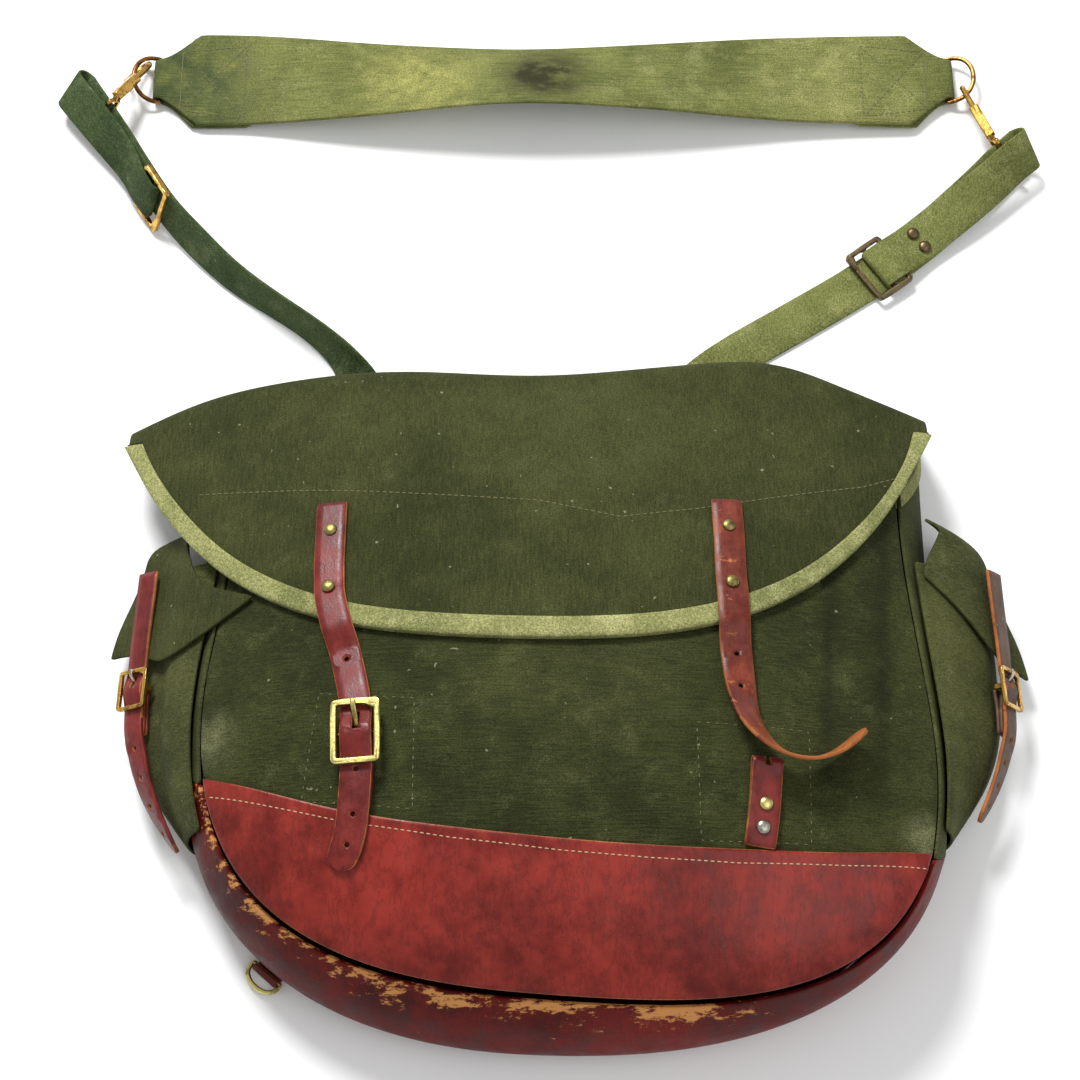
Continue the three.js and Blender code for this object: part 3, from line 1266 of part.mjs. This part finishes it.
function lowerStrap(name, web) {
  const ring = rings[name];
  const at = (shares) => new THREE.Vector3(...shares).multiplyScalar(hookLength).add(ring);
  const start = new THREE.Vector3(web.startX * halfBag, backUp + 6 * seat, 0);
  const aim = at(web.root);
  const path = new THREE.CatmullRomCurve3(web.places.map((row) => new THREE.Vector3(
    mix(start.x, aim.x, row.x), mix(start.y, aim.y, row.y), row.lift * webWidth)), false, 'centripetal');
  const frames = framesAlong(path, tiltedUp(path, tiltOf(web.places, path)));
  const length = path.getLength();
  const slideAt = reachOf(path, mix(start.y, aim.y, web.slideY));
  addPiece(`webbing_${name}`, 'webbing', strapSolid(frames, finely(webBand(length, slideAt), 15), webWall, webWidth / 2));

  const slideWidth = webWidth + slideMore;
  const plate = placeAt(frameRing(slideWidth, slideLength, slideBar), frames(slideAt), 0, slideUnder);
  const bar = new THREE.CylinderGeometry(0.46 * slideBar, 0.46 * slideBar, slideWidth - slideBar, 8).rotateZ(Math.PI / 2);
  addPiece(`slide_${name}`, web.slideMetal, joined(plate, placeAt(bar, frames(slideAt), 0, slideUnder + slideBar / 2)));

  const eye = frames(length - web.eyeBack * webWidth);
  const eyeHalf = webWidth / 2 + 2 * seat + ringWire;
  const eyeRise = webWall / 2 + 2 * seat + ringWire;
  const corner = (x, y) => eye.origin.clone().addScaledVector(eye.across, x * eyeHalf).addScaledVector(eye.up, y * eyeRise);
  const way = new THREE.Vector3().crossVectors(eye.up, eye.across).normalize();
  const loop = [[-1, -1], [0, -1], [1, -1], [1, 0], [1, 1], [0, 1], [-1, 1], [-1, 0]].map(([x, y]) => corner(x, y));
  const eyeWire = closedWire(loop, way, ringWire, 6);
  const root = corner(web.raised, 0).addScaledVector(eye.across, web.raised * 2 * hookWire);
  const neck = openWire([corner(web.raised, 0), root], way, hookWire, 6);

  const along = at(web.bow).sub(root).normalize();
  const flat = new THREE.Vector3().crossVectors(along, new THREE.Vector3(0, 0, 1)).normalize().multiplyScalar(web.side);
  const normal = new THREE.Vector3().crossVectors(flat, along).normalize();
  if (normal.z < 0) normal.negate();
  const roll = THREE.MathUtils.degToRad(web.roll);
  const across = flat.multiplyScalar(Math.cos(roll)).addScaledVector(normal, -Math.sin(roll));
  const place = new THREE.Matrix4().makeBasis(across, along, new THREE.Vector3().crossVectors(across, along))
    .setPosition(root);
  addPiece(`hook_${name}`, 'brass', joined(hookSolid().applyMatrix4(place), neck, eyeWire));
  addPiece(`hook_gate_${name}`, 'brass', gateSolid().applyMatrix4(place));
  return { frames, slideAt };
}
const lowerStraps = {};
for (const [name, web] of Object.entries(webs)) lowerStraps[name] = lowerStrap(name, web);

// Two rivets through the right webbing's doubled end
[-1, 1].forEach((side, i) => {
  const { frames, slideAt } = lowerStraps.right;
  const rise = secondLayer + webWall / 2 + 3 * seat;
  const cap = placeAt(rivetCap(rivetRadius), frames(slideAt + rivetPast), 0, rise, side * 1.3 * rivetRadius);
  addPiece(`webbing_rivet_${i + 1}`, 'bronze', cap);
});

// Ring at the lower left corner, held by a leather tab that is sewn into the back seam
const baseRingPlace = 0.33; // share of the way round the back seam
const tabWall = 0.8 * strapWall;
const seamAt = backLine.getPointAt(baseRingPlace);
const seamWay = backLine.getTangentAt(baseRingPlace);
const seamOut = new THREE.Vector3(seamWay.y, -seamWay.x, 0);
const tabTurn = baseRingWire + seat + tabWall / 2;
const tabLow = seat + tabWall / 2;
const tabOut = 6.5; // the ring's bar lies this far outside the seam
const tabFrames = (at) => ({
  origin: seamAt.clone().addScaledVector(seamOut, at), across: seamWay, up: new THREE.Vector3(0, 0, 1),
});
const tabRows = [[2 * seat, tabLow], ...arcRows([tabOut, tabLow + tabTurn], tabTurn, 270, 450, 6)];
addPiece('base_ring_tab', 'leather', strapSolid(tabFrames, finely(tabRows, 10), tabWall,
  baseRingBar / 2 - baseRingWire - seat));
const baseRingCentre = tabFrames(tabOut).origin.setZ(tabLow + tabTurn);
addPiece('base_ring', 'brass', ringOf(baseRingCentre, seamWay, seamOut, baseRingBar, baseRingReach, baseRingWire));

export default haversack;
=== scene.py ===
"""Worn canvas and leather haversack, lying on its back with its shoulder strap laid out above its mouth."""
import math
import bmesh
import bpy
import numpy as np
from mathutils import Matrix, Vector
from mathutils.bvhtree import BVHTree


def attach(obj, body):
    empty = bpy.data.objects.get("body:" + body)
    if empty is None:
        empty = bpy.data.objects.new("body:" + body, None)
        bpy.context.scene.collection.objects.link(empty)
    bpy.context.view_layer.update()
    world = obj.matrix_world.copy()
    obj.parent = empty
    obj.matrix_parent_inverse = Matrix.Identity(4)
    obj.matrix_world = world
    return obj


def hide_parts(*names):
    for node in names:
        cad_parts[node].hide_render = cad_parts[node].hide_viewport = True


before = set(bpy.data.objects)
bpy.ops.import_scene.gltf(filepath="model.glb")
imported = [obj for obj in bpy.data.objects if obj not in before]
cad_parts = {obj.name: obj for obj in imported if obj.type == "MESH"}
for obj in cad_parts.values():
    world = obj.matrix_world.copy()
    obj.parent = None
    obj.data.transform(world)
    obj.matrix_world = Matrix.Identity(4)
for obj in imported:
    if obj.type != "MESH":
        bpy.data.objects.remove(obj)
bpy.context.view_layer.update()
MM = 0.001

# Front panel
# Heavy olive cotton canvas with its ribs running across, sewn into the gusset all round. It is worn pale at two
# edges, has a soft upright fold at its right with painted shade in a valley each side of it, and shows the faint
# stitch boxes of the patches behind the straps.


class Wire:
    """An output socket in a material's tree. Arithmetic on it adds Math nodes."""

    def __init__(self, tree, socket):
        self.tree = tree
        self.socket = socket

    def math(self, operation, other=0.0):
        return self.tree.add("ShaderNodeMath", {"operation": operation}, {0: self, 1: other})

    def __add__(self, other):
        return self.math("ADD", other)

    def __sub__(self, other):
        return self.math("SUBTRACT", other)

    def __mul__(self, other):
        return self.math("MULTIPLY", other)

    __radd__ = __add__
    __rmul__ = __mul__

    def __rsub__(self, other):
        return self * -1.0 + other


class Paint:
    """A material and its node tree, on Object coordinates. Settings given by name go on the shader's own sockets."""

    def __init__(self, name, **sockets):
        self.material = bpy.data.materials.new(name)
        self.material.use_nodes = True
        self.nodes = self.material.node_tree.nodes
        self.shader = self.nodes["Principled BSDF"]
        for key, value in sockets.items():
            self.shader.inputs[key.replace("_", " ")].default_value = value

    def add(self, kind, settings=None, inputs=None, output=0):
        node = self.nodes.new(kind)
        for key, value in (settings or {}).items():
            setattr(node, key, value)
        for key, value in (inputs or {}).items():
            self.put(node, key, value)
        return Wire(self, node.outputs[output])

    def put(self, node, key, value):
        if isinstance(value, Wire):
            self.material.node_tree.links.new(value.socket, node.inputs[key])
        else:
            node.inputs[key].default_value = value

    def place(self, stretch=(1, 1, 1)):
        """Object coordinates, stretched so that noise runs in streaks."""
        spot = self.add("ShaderNodeTexCoord", output="Object")
        return self.add("ShaderNodeVectorMath", {"operation": "MULTIPLY"}, {0: spot, 1: stretch})

    def along(self, axis):
        """Place along one axis, in metres."""
        return self.add("ShaderNodeSeparateXYZ", None, {"Vector": self.place()}, output=axis)

    def noise(self, scale, detail=3.0, stretch=(1, 1, 1), rough=0.6):
        inputs = {"Vector": self.place(stretch), "Scale": scale, "Detail": detail, "Roughness": rough}
        return self.add("ShaderNodeTexNoise", None, inputs)

    def span(self, value, low, high, to_low=0.0, to_high=1.0):
        """A value taken smoothly from the range low to high to the range to_low to to_high."""
        inputs = {"Value": value, 1: low, 2: high, 3: to_low, 4: to_high}
        return self.add("ShaderNodeMapRange", {"interpolation_type": "SMOOTHSTEP"}, inputs)

    def mix(self, share, first, second, blend="MIX"):
        inputs = {0: share, 6: first, 7: second}
        return self.add("ShaderNodeMix", {"data_type": "RGBA", "blend_type": blend}, inputs, output=2)

    def blot(self, x, y, radius):
        """1 at a place on the bag, falling to 0 at a radius from it."""
        inputs = {0: self.place((1, 1, 0)), 1: (x, y, 0)}
        away = self.add("ShaderNodeVectorMath", {"operation": "DISTANCE"}, inputs, output="Value")
        return self.span(away, 0, radius, 1, 0)

    def relief(self, height, distance, strength=1.0, under=None):
        inputs = {"Height": height, "Distance": distance, "Strength": strength}
        if under is not None:
            inputs["Normal"] = under
        return self.add("ShaderNodeBump", None, inputs)

    def finish(self, colour, rough=None, normal=None):
        self.put(self.shader, "Base Color", colour)
        if rough is not None:
            self.put(self.shader, "Roughness", rough)
        if normal is not None:
            self.put(self.shader, "Normal", normal)
        return self.material


def rgb(red, green, blue):
    """Linear colour from an sRGB one of 0 to 255."""
    line = [((c / 255 + 0.055) / 1.055) ** 2.4 if c > 10 else c / 3294 for c in (red, green, blue)]
    return (*line, 1.0)


def cloth(name, dark, light, worn, run, ribs, wear=0.62, folds=0.0012, blots=(), ridge=None):
    """Woven cloth. run is the stretch of the noise along the ribs, ribs the relief of the weave, in metres.

    Colour goes from dark to light with broad noise and streaks, to worn where finer noise passes wear, and to the
    tint of each of blots, rows of (x, y, radius, share, tint). ridge is a soft fold up the bag: its x at y 0, its
    lean, half width and height, and the y range where it shows. Its profile is a bell of bump, with painted shade
    darkening the colour in a valley each side of it.
    """
    paint = Paint(name, Roughness=0.9, Specular_IOR_Level=0.12)
    broad = paint.noise(9, 3)
    patches = paint.noise(45, 4)
    grain = paint.noise(1500, 2)
    streak = paint.noise(1, 2, run, 0.5)
    shade = paint.span(broad * 0.45 + patches * 0.25 + streak * 0.3, 0.36, 0.66)
    colour = paint.mix(shade, dark, light)
    rubbed = paint.noise(70, 5) + grain * 0.25
    thin = paint.span(rubbed, wear, wear + 0.22)
    colour = paint.mix(thin * 0.35, colour, worn)
    for x, y, radius, share, tint in blots:
        colour = paint.mix(paint.blot(x, y, radius) * paint.span(rubbed, 0.35, 0.85) * share, colour, tint)
    specks = paint.span(grain, 0.3, 0.72, 0.5, 1.45)
    colour = paint.mix(0.8, colour, specks, "MULTIPLY")
    lint = paint.span(paint.noise(260, 1), 0.77, 0.8)
    colour = paint.mix(lint * 0.5, colour, rgb(150, 150, 125))
    normal = paint.relief(paint.noise(14, 3), folds, 1.0)
    if ridge:
        at, lean, half, rise, low, high = ridge
        fade = 30 * MM
        up = paint.along("Y")
        side = (paint.along("X") - up * lean - at) * (1 / half)
        there = paint.span(up, low, low + fade) * paint.span(up, high - fade, high, 1, 0)
        crest = (side * side * -1.0).math("EXPONENT") * there
        outer = side.math("ABSOLUTE") - 1.3
        # Painted shade: the colour is darkened toward near black, at up to 0.4, in a valley each side of the fold.
        fold_shade = (outer * outer * -6.0).math("EXPONENT") * there
        colour = paint.mix(fold_shade * 0.4, colour, (0.004, 0.005, 0.002, 1))
        normal = paint.relief(crest, rise, 1.0, normal)
    normal = paint.relief(streak, ribs, 0.9, normal)
    normal = paint.relief(grain, 0.25 * MM, 0.6, normal)
    return paint.finish(colour, None, normal)


def raw_sides(shape):
    """Material number of each face: 0 on the finished side of a strap, 1 on its cut edges and on the side below.

    A face is on a broad side where a ray inward from it leaves the leather within a wall's thickness. The finished
    side is all that is joined to the broad face furthest up the bag.
    """
    tree = BVHTree.FromBMesh(shape)
    wall = 4.5 * MM
    broad = set()
    for face in shape.faces:
        start = face.calc_center_median() - face.normal * 1e-5
        through = tree.ray_cast(start, -face.normal)[3]
        if through is not None and through < wall:
            broad.add(face)
    grain = {max((face for face in broad if face.normal.z > 0.3), key=lambda face: face.calc_center_median().y)}
    front = set(grain)
    while front:
        front = {near for face in front for line in face.edges for near in line.link_faces if near in broad} - grain
        grain |= front
    for face in shape.faces:
        face.material_index = 0 if face in grain else 1


def rounded(node, materials, levels=2, crease=0.95, bend=40, body="bag"):
    """A rounded copy of a CAD solid, in its place and form.

    Its facets are merged to four-sided ones, edges that turn by more than bend degrees are creased, and the rest is
    subdivided. A second material goes on the cut edges and the side below.
    """
    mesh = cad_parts[node].data.copy()
    mesh.name = f"{node}_rounded"
    shape = bmesh.new()
    shape.from_mesh(mesh)
    bmesh.ops.remove_doubles(shape, verts=shape.verts, dist=1e-6)
    wide = math.radians(35)
    bmesh.ops.join_triangles(shape, faces=shape.faces, angle_face_threshold=wide, angle_shape_threshold=2 * wide)
    bmesh.ops.recalc_face_normals(shape, faces=shape.faces)
    folds = shape.edges.layers.float.get("crease_edge") or shape.edges.layers.float.new("crease_edge")
    for line in shape.edges:
        line[folds] = crease if line.calc_face_angle(0) > math.radians(bend) else 0
    mesh.materials.clear()
    for material in materials:
        mesh.materials.append(material)
    if len(materials) > 1:
        raw_sides(shape)
    shape.to_mesh(mesh)
    shape.free()
    piece = bpy.data.objects.new(f"{node}_finished", mesh)
    bpy.context.scene.collection.objects.link(piece)
    mesh.shade_smooth()
    rounding = piece.modifiers.new("rounding", "SUBSURF")
    rounding.levels = levels
    rounding.render_levels = levels
    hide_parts(node)
    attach(piece, body)
    return piece


def surface_under(piece):
    """Function from (x, y) to the point and normal of the piece's top there."""
    tree = BVHTree.FromObject(piece, bpy.context.evaluated_depsgraph_get())
    above = 300 * MM

    def look(x, y):
        point, normal = tree.ray_cast(Vector((x, y, above)), Vector((0, 0, -1)))[:2]
        return (point, normal) if point is not None else None

    return look


def stitches(name, points, piece, thread, length=3.0, gap=1.3, radius=0.4):
    """Stitches along a line of (x, y) points, sizes in millimetres.

    Each is a bar of six sides between two points of the surface, its radius swelling from a pinched end to the
    middle and back, sunk by three quarters of its radius.
    """
    look = surface_under(piece)
    line = np.array(points, float) * MM
    reach = np.concatenate([[0], np.cumsum(np.linalg.norm(np.diff(line, axis=0), axis=1))])
    along = np.array([0, 0.15, 0.5, 0.85, 1.0])
    swell = np.array([0.15, 0.8, 1.0, 0.8, 0.15])
    sides = 6
    rows = len(along)
    each = rows * sides
    turn = np.linspace(0, 2 * math.pi, sides, endpoint=False)
    verts = []
    for start in np.arange(0, reach[-1] - length * MM, (length + gap) * MM):
        ends = [[np.interp(start + d * length * MM, reach, line[:, k]) for k in (0, 1)] for d in (0, 1)]
        hits = [look(*end) for end in ends]
        if None in hits:
            continue
        a, b = (np.array(hit[0]) for hit in hits)
        up = np.array((hits[0][1] + hits[1][1]).normalized())
        way = (b - a) / max(np.linalg.norm(b - a), 1e-9)
        side = np.cross(way, up)
        spine = a + along[:, None] * (b - a) + up * 0.25 * radius * MM
        ring = np.cos(turn)[:, None] * side + np.sin(turn)[:, None] * up
        verts.append((spine[:, None] + swell[:, None, None] * radius * MM * ring).reshape(-1, 3))
    count = len(verts)
    starts = sides * np.arange(rows - 1)[:, None]
    here = starts + np.arange(sides)
    beside = starts + (np.arange(sides) + 1) % sides
    quads = np.stack([here, beside, beside + sides, here + sides], -1).reshape(-1, 4)
    faces = (quads[None] + each * np.arange(count)[:, None, None]).reshape(-1, 4).tolist()
    for k in range(count):
        faces.append([each * k + i for i in reversed(range(sides))])
        faces.append([each * (k + 1) - sides + i for i in range(sides)])
    mesh = bpy.data.meshes.new(name)
    mesh.from_pydata(np.concatenate(verts).tolist(), [], faces)
    mesh.shade_smooth()
    mesh.materials.append(thread)
    row = bpy.data.objects.new(name, mesh)
    bpy.context.scene.collection.objects.link(row)
    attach(row, "bag")


def thread_of(name, dark, light, rough):
    paint = Paint(name, Roughness=rough)
    return paint.finish(paint.mix(paint.noise(400), dark, light))


RIBS_ACROSS = (90, 1100, 500)
pale_weave = rgb(120, 122, 86)
# Two worn pale patches at the left and right edges, and a broad lighter patch over the middle of the panel.
pale_places = [(-0.181, -0.03, 0.022, 0.7, pale_weave), (0.176, -0.082, 0.018, 0.9, pale_weave),
               (0.0, 0.0, 0.09, 0.25, rgb(84, 86, 50))]
# The soft fold at the right of the front: a bump, with painted shade in a valley each side.
right_fold_and_shade = (0.1445, 0.075, 0.011, 0.005, -0.075, 0.11)
canvas = cloth("front canvas", rgb(36, 40, 19), rgb(62, 66, 34), rgb(88, 92, 58), RIBS_ACROSS, 0.0006, 0.66, 0.0012,
               pale_places, right_fold_and_shade)
front_panel = rounded("front_canvas", [canvas], 3)
thread_green = thread_of("green thread", rgb(70, 72, 44), rgb(120, 118, 80), 0.9)
box_left = [(-124, -11), (-76, -16), (-76, -72), (-131, -66), (-124, -11)]
box_right = [(63, -29), (119, -31), (118, -88), (64, -88), (63, -29)]
for name, box in {"box_left_stitches": box_left, "box_right_stitches": box_right}.items():
    stitches(name, box, front_panel, thread_green, 2.0, 2.6, 0.3)

# Back, gussets and side pockets
# The same canvas, cleaner and a little paler at the sides. The pockets are sewn to the gussets.
side_canvas = cloth("side canvas", rgb(48, 52, 28), rgb(80, 83, 46), rgb(104, 106, 72), RIBS_ACROSS, 0.0004, 0.66)
rounded("back_canvas", [side_canvas], 1)
for node in ("gusset_left", "gusset_right", "pocket_left", "pocket_right", "pocket_flap_right"):
    rounded(node, [side_canvas], 3)

# Flap
# One sheet of finer canvas with its weave running up the bag, over the mouth and onto the front, with a line of
# stitches across it. The left pocket's flap is cut from the same cloth.
RIBS_UP = (1100, 90, 500)
flap_canvas = cloth("flap canvas", rgb(42, 46, 22), rgb(66, 69, 37), rgb(84, 86, 54), RIBS_UP, 0.0003, 0.7)
flap_sheet = rounded("flap", [flap_canvas], 3)
rounded("pocket_flap_left", [flap_canvas], 3)
flap_line = [(-194, 109), (-139, 105), (-76, 99), (-14, 94), (27, 84), (68, 90), (122, 102), (155, 109), (178, 118)]
stitches("flap_line_stitches", flap_line, flap_sheet, thread_green, 2.4, 1.0, 0.4)

# Bindings
# Pale green cotton tape folded over the flap's edge and over both ends of the mouth.
tape_cloth = cloth("binding tape", rgb(104, 108, 64), rgb(158, 158, 104), rgb(186, 182, 132), (700, 700, 500),
                   0.0004, 0.62, 0.0006)
for node in ("flap_binding", "mouth_binding_left", "mouth_binding_right"):
    rounded(node, [tape_cloth], 2)

# Leather base
# Oxblood hide over the bottom of the front, the gusset and the back. Its top edge is raw, with a row of pale
# stitches below it, and the gusset is worn through to tan along the front seam.


def hide(name, dark, light, scuff, wear=0.64, shine=(0.26, 0.46), creases=0.0016, rub=0.0, gloss=0.3,
         raw_from=None):
    """Glossy creased leather, its grain worn through to tan in scuffs, more so where the mesh's rub is high.

    Cracks are the narrow band where a stretched noise passes its middle value. From raw_from toward the right of
    the bag the leather is tan all over, as on the flesh side.
    """
    paint = Paint(name, Specular_IOR_Level=gloss)
    broad = paint.noise(16, 4)
    patches = paint.noise(80, 5)
    colour = paint.mix(paint.span(broad * 0.6 + patches * 0.4, 0.36, 0.66), dark, light)
    cracks = paint.noise(1, 6, (130, 45, 60), 0.7)
    lines = paint.span(cracks, 0.46, 0.5) - paint.span(cracks, 0.5, 0.54)
    colour = paint.mix(lines * 0.3, colour, rgb(40, 8, 6))
    worn = paint.noise(1, 8, (60, 160, 90), 0.75)
    if rub:
        worn = worn + paint.add("ShaderNodeAttribute", {"attribute_name": "rub"}, output="Fac") * rub
    rubbed = paint.span(worn, wear, wear + 0.06)
    colour = paint.mix(rubbed * 0.85, colour, scuff)
    rough = paint.span(patches, 0.3, 0.7, *shine) + rubbed * 0.25
    if raw_from:
        bare = paint.span(paint.along("X"), raw_from, raw_from + 20 * MM)
        colour = paint.mix(bare, colour, paint.mix(patches, rgb(116, 58, 22), rgb(176, 108, 52)))
        rough = rough + bare * 0.3
    normal = paint.relief(paint.noise(1, 4, (26, 12, 16), 0.6), creases, 1.0)
    normal = paint.relief(lines, 0.3 * MM, -0.6, normal)
    normal = paint.relief(paint.noise(900, 3), 0.18 * MM, 0.6, normal)
    return paint.finish(colour, rough, normal)


def points_of(piece):
    """Places of a piece's points before its modifiers, as rows."""
    places = np.empty(3 * len(piece.data.vertices))
    piece.data.vertices.foreach_get("co", places)
    return places.reshape(-1, 3)


base_hide = hide("base leather", rgb(94, 20, 13), rgb(142, 42, 32), rgb(176, 100, 60), 0.72)
gusset_hide = hide("gusset leather", rgb(60, 6, 4), rgb(108, 24, 17), rgb(208, 146, 84), 0.66, (0.4, 0.6), rub=0.23,
                   gloss=0.12)
raw_hide = hide("raw leather", rgb(126, 66, 28), rgb(176, 108, 54), rgb(110, 52, 24), 0.6, (0.7, 0.9), 0.0004)
base_front = rounded("front_leather", [base_hide, raw_hide], 3)
base_under = rounded("gusset_leather", [gusset_hide], 3)
rounded("back_leather", [gusset_hide], 1)

# Rub is 1 at the front seam and 0 at 30 mm from it, and fades between 80 and 140 mm to the right
lower = points_of(base_under)
apart = np.linalg.norm(lower[:, None] - points_of(base_front)[None], axis=2).min(axis=1)
rub_share = np.clip(1 - apart / (30 * MM), 0, 1) * np.clip((140 * MM - lower[:, 0]) / (60 * MM), 0, 1)
base_under.data.attributes.new("rub", "FLOAT", "POINT").data.foreach_set("value", rub_share)

thread_pale = thread_of("pale thread", rgb(206, 176, 138), rgb(168, 128, 92), 0.85)
leather_top = [(-178, -60), (-162, -64), (-109, -78), (-57, -87), (-4, -93.5), (39, -97), (82, -99), (136, -98),
               (176, -96)]
stitches("leather_top_stitches", leather_top, base_front, thread_pale, 2.1, 1.1, 0.35)

# Straps and chapes
# Vegetable tanned straps with raw tan edges: red on the left, browner on the right, where the loose end curls and
# shows its flesh side. The right pocket's has gone grey.
strap_red = hide("red strap", rgb(76, 16, 14), rgb(122, 36, 30), rgb(160, 92, 50), 0.7, (0.3, 0.5), 0.0004)
strap_brown = hide("brown strap", rgb(88, 30, 18), rgb(140, 62, 40), rgb(180, 110, 60), 0.6, (0.3, 0.5), 0.0004,
                   raw_from=0.088)
strap_grey = hide("grey strap", rgb(62, 44, 34), rgb(104, 78, 60), rgb(140, 108, 76), 0.62, (0.45, 0.65), 0.0004)
strap_hides = {
    "strap_left": [strap_red, raw_hide],
    "strap_right": [strap_brown, raw_hide],
    "strap_pocket_left": [strap_red, raw_hide],
    "strap_pocket_right": [strap_grey, raw_hide],
    "chape_left": [strap_red],
    "chape_right": [strap_red, raw_hide],
    "chape_pocket_left": [strap_brown],
    "chape_pocket_right": [strap_grey],
    "base_ring_tab": [strap_red],
}
for node, hides in strap_hides.items():
    rounded(node, hides, 2)

# Shoulder strap
# A wide ribbed webbing pad, its ends folded back and sewn in crossed boxes, darker at its left end and stained near
# its middle. Two narrow webbings, the left one greener, run from the bag through the slides to the hooks.
pad_stains = [(-0.011, 0.39, 0.04, 1.5, rgb(46, 46, 26)), (-0.245, 0.385, 0.11, 1.4, rgb(60, 70, 44)),
              (-0.085, 0.385, 0.05, 1.0, rgb(150, 148, 84)), (0.16, 0.39, 0.06, 0.6, rgb(146, 146, 90))]
pad_cloth = cloth("pad webbing", rgb(78, 84, 44), rgb(116, 119, 68), rgb(142, 142, 92), (60, 900, 400), 0.0006,
                  0.62, 0.0008, pad_stains)
web_dark = cloth("left webbing", rgb(46, 60, 36), rgb(80, 94, 58), rgb(110, 118, 82), (700, 500, 700), 0.0004)
web_pale = cloth("right webbing", rgb(82, 88, 46), rgb(124, 128, 74), rgb(152, 152, 102), (900, 500, 400), 0.0005)
pad = rounded("shoulder_pad", [pad_cloth], 2)
rounded("webbing_left", [web_dark], 2)
rounded("webbing_right", [web_pale], 2)
pad_middle = -6
pad_right = [(176, 419), (214, 415), (214, 375), (176, 369), (176, 419), (214, 375), (214, 415), (176, 369)]
pad_left = [(2 * pad_middle - x, y) for x, y in pad_right]
for name, box in {"pad_right_stitches": pad_right, "pad_left_stitches": pad_left}.items():
    stitches(name, box, pad, thread_green, 2.4, 1.0, 0.35)

# Fittings
# Cast and bent brass, bronzed wire and bare steel, with rounded edges and patchy tarnish.
# The hooks' spring gates turn on their pins, and the rest is fixed to the bag.


def metal(name, bright, dull, amount, rough=0.3):
    """Aged metal, bright where rubbed and dull where noise passes amount."""
    paint = Paint(name, Metallic=1.0)
    tarnish = paint.span(paint.noise(160, 5) * 0.7 + paint.noise(900, 2) * 0.3, amount, amount + 0.22)
    colour = paint.mix(tarnish, bright, dull)
    normal = paint.relief(paint.noise(500, 3), 0.2 * MM, 0.5)
    return paint.finish(colour, tarnish * 0.25 + rough, normal)


pale_brass = metal("pale brass", rgb(206, 196, 124), rgb(128, 114, 62), 0.44)
gold_brass = metal("gold brass", rgb(206, 164, 84), rgb(112, 76, 36), 0.44, 0.25)
dark_brass = metal("dark brass", rgb(156, 110, 58), rgb(74, 50, 30), 0.42, 0.32)
old_brass = metal("old brass", rgb(150, 138, 84), rgb(76, 66, 38), 0.42, 0.38)
bare_steel = metal("bare steel", rgb(170, 170, 158), rgb(92, 90, 78), 0.46, 0.3)
bronze_wire = metal("bronze wire", rgb(104, 90, 66), rgb(54, 44, 32), 0.45, 0.38)
metals = {
    "buckle_left": pale_brass,
    "tongue_left": pale_brass,
    "buckle_pocket_left": gold_brass,
    "buckle_pocket_right": gold_brass,
    "tongue_pocket_left": bare_steel,
    "tongue_pocket_right": bare_steel,
    "chape_rivet_brass": pale_brass,
    "chape_rivet_steel": bare_steel,
    "rivet_left_1": old_brass,
    "rivet_left_2": old_brass,
    "rivet_right_1": old_brass,
    "rivet_right_2": old_brass,
    "pad_ring_left": dark_brass,
    "pad_ring_right": dark_brass,
    "hook_left": gold_brass,
    "hook_right": gold_brass,
    "hook_gate_left": gold_brass,
    "hook_gate_right": dark_brass,
    "slide_left": gold_brass,
    "slide_right": bronze_wire,
    "webbing_rivet_1": bronze_wire,
    "webbing_rivet_2": bronze_wire,
    "base_ring": pale_brass,
}
gates = {"hook_gate_left": "gate_left", "hook_gate_right": "gate_right"}
for node, material in metals.items():
    rounded(node, [material], crease=0.6, bend=50, body=gates.get(node, "bag"))

# Stage
# A pale floor, soft light from above and behind, a weaker one from the right, and the camera at the photograph's
# angle: 68 degrees above the floor and 1.3 m from the bag.
half_floor = 4
floor_mesh = bpy.data.meshes.new("floor")
corners = [(x * half_floor, y * half_floor, 0) for x, y in ((-1, -1), (1, -1), (1, 1), (-1, 1))]
floor_mesh.from_pydata(corners, [], [(0, 1, 2, 3)])
floor = bpy.data.objects.new("floor", floor_mesh)
bpy.context.scene.collection.objects.link(floor)
plaster = Paint("floor paint", Roughness=0.9)
floor_mesh.materials.append(plaster.finish(plaster.mix(plaster.noise(3), rgb(246, 248, 248), rgb(252, 252, 252))))

aim = Vector((-0.014, 0.105, 0.0))
height = math.radians(68)
reach = 1.3
lens = bpy.data.cameras.new("camera")
lens.lens = 79
lens.sensor_width = 36
camera = bpy.data.objects.new("camera", lens)
camera.location = aim + reach * Vector((0, -math.cos(height), math.sin(height)))
camera.rotation_euler = (math.pi / 2 - height, 0, 0)
bpy.context.scene.collection.objects.link(camera)
bpy.context.scene.camera = camera


def lamp(name, place, size, watts):
    """A round area lamp facing the bag."""
    data = bpy.data.lights.new(name, "AREA")
    data.shape = "DISK"
    data.size = size
    data.energy = watts
    light = bpy.data.objects.new(name, data)
    light.location = place
    light.rotation_euler = (aim - Vector(place)).to_track_quat("-Z", "Y").to_euler()
    bpy.context.scene.collection.objects.link(light)


lamp("key", (-0.5, 1.2, 1.5), 0.6, 42)
lamp("fill", (0.9, -0.5, 1.6), 1.6, 8)
world = bpy.data.worlds.new("studio")
world.use_nodes = True
sky = world.node_tree.nodes["Background"]
sky.inputs["Color"].default_value = (1, 1, 1, 1)
sky.inputs["Strength"].default_value = 0.55
bpy.context.scene.world = world
bpy.context.scene.view_settings.view_transform = "Standard"

bpy.context.view_layer.update()
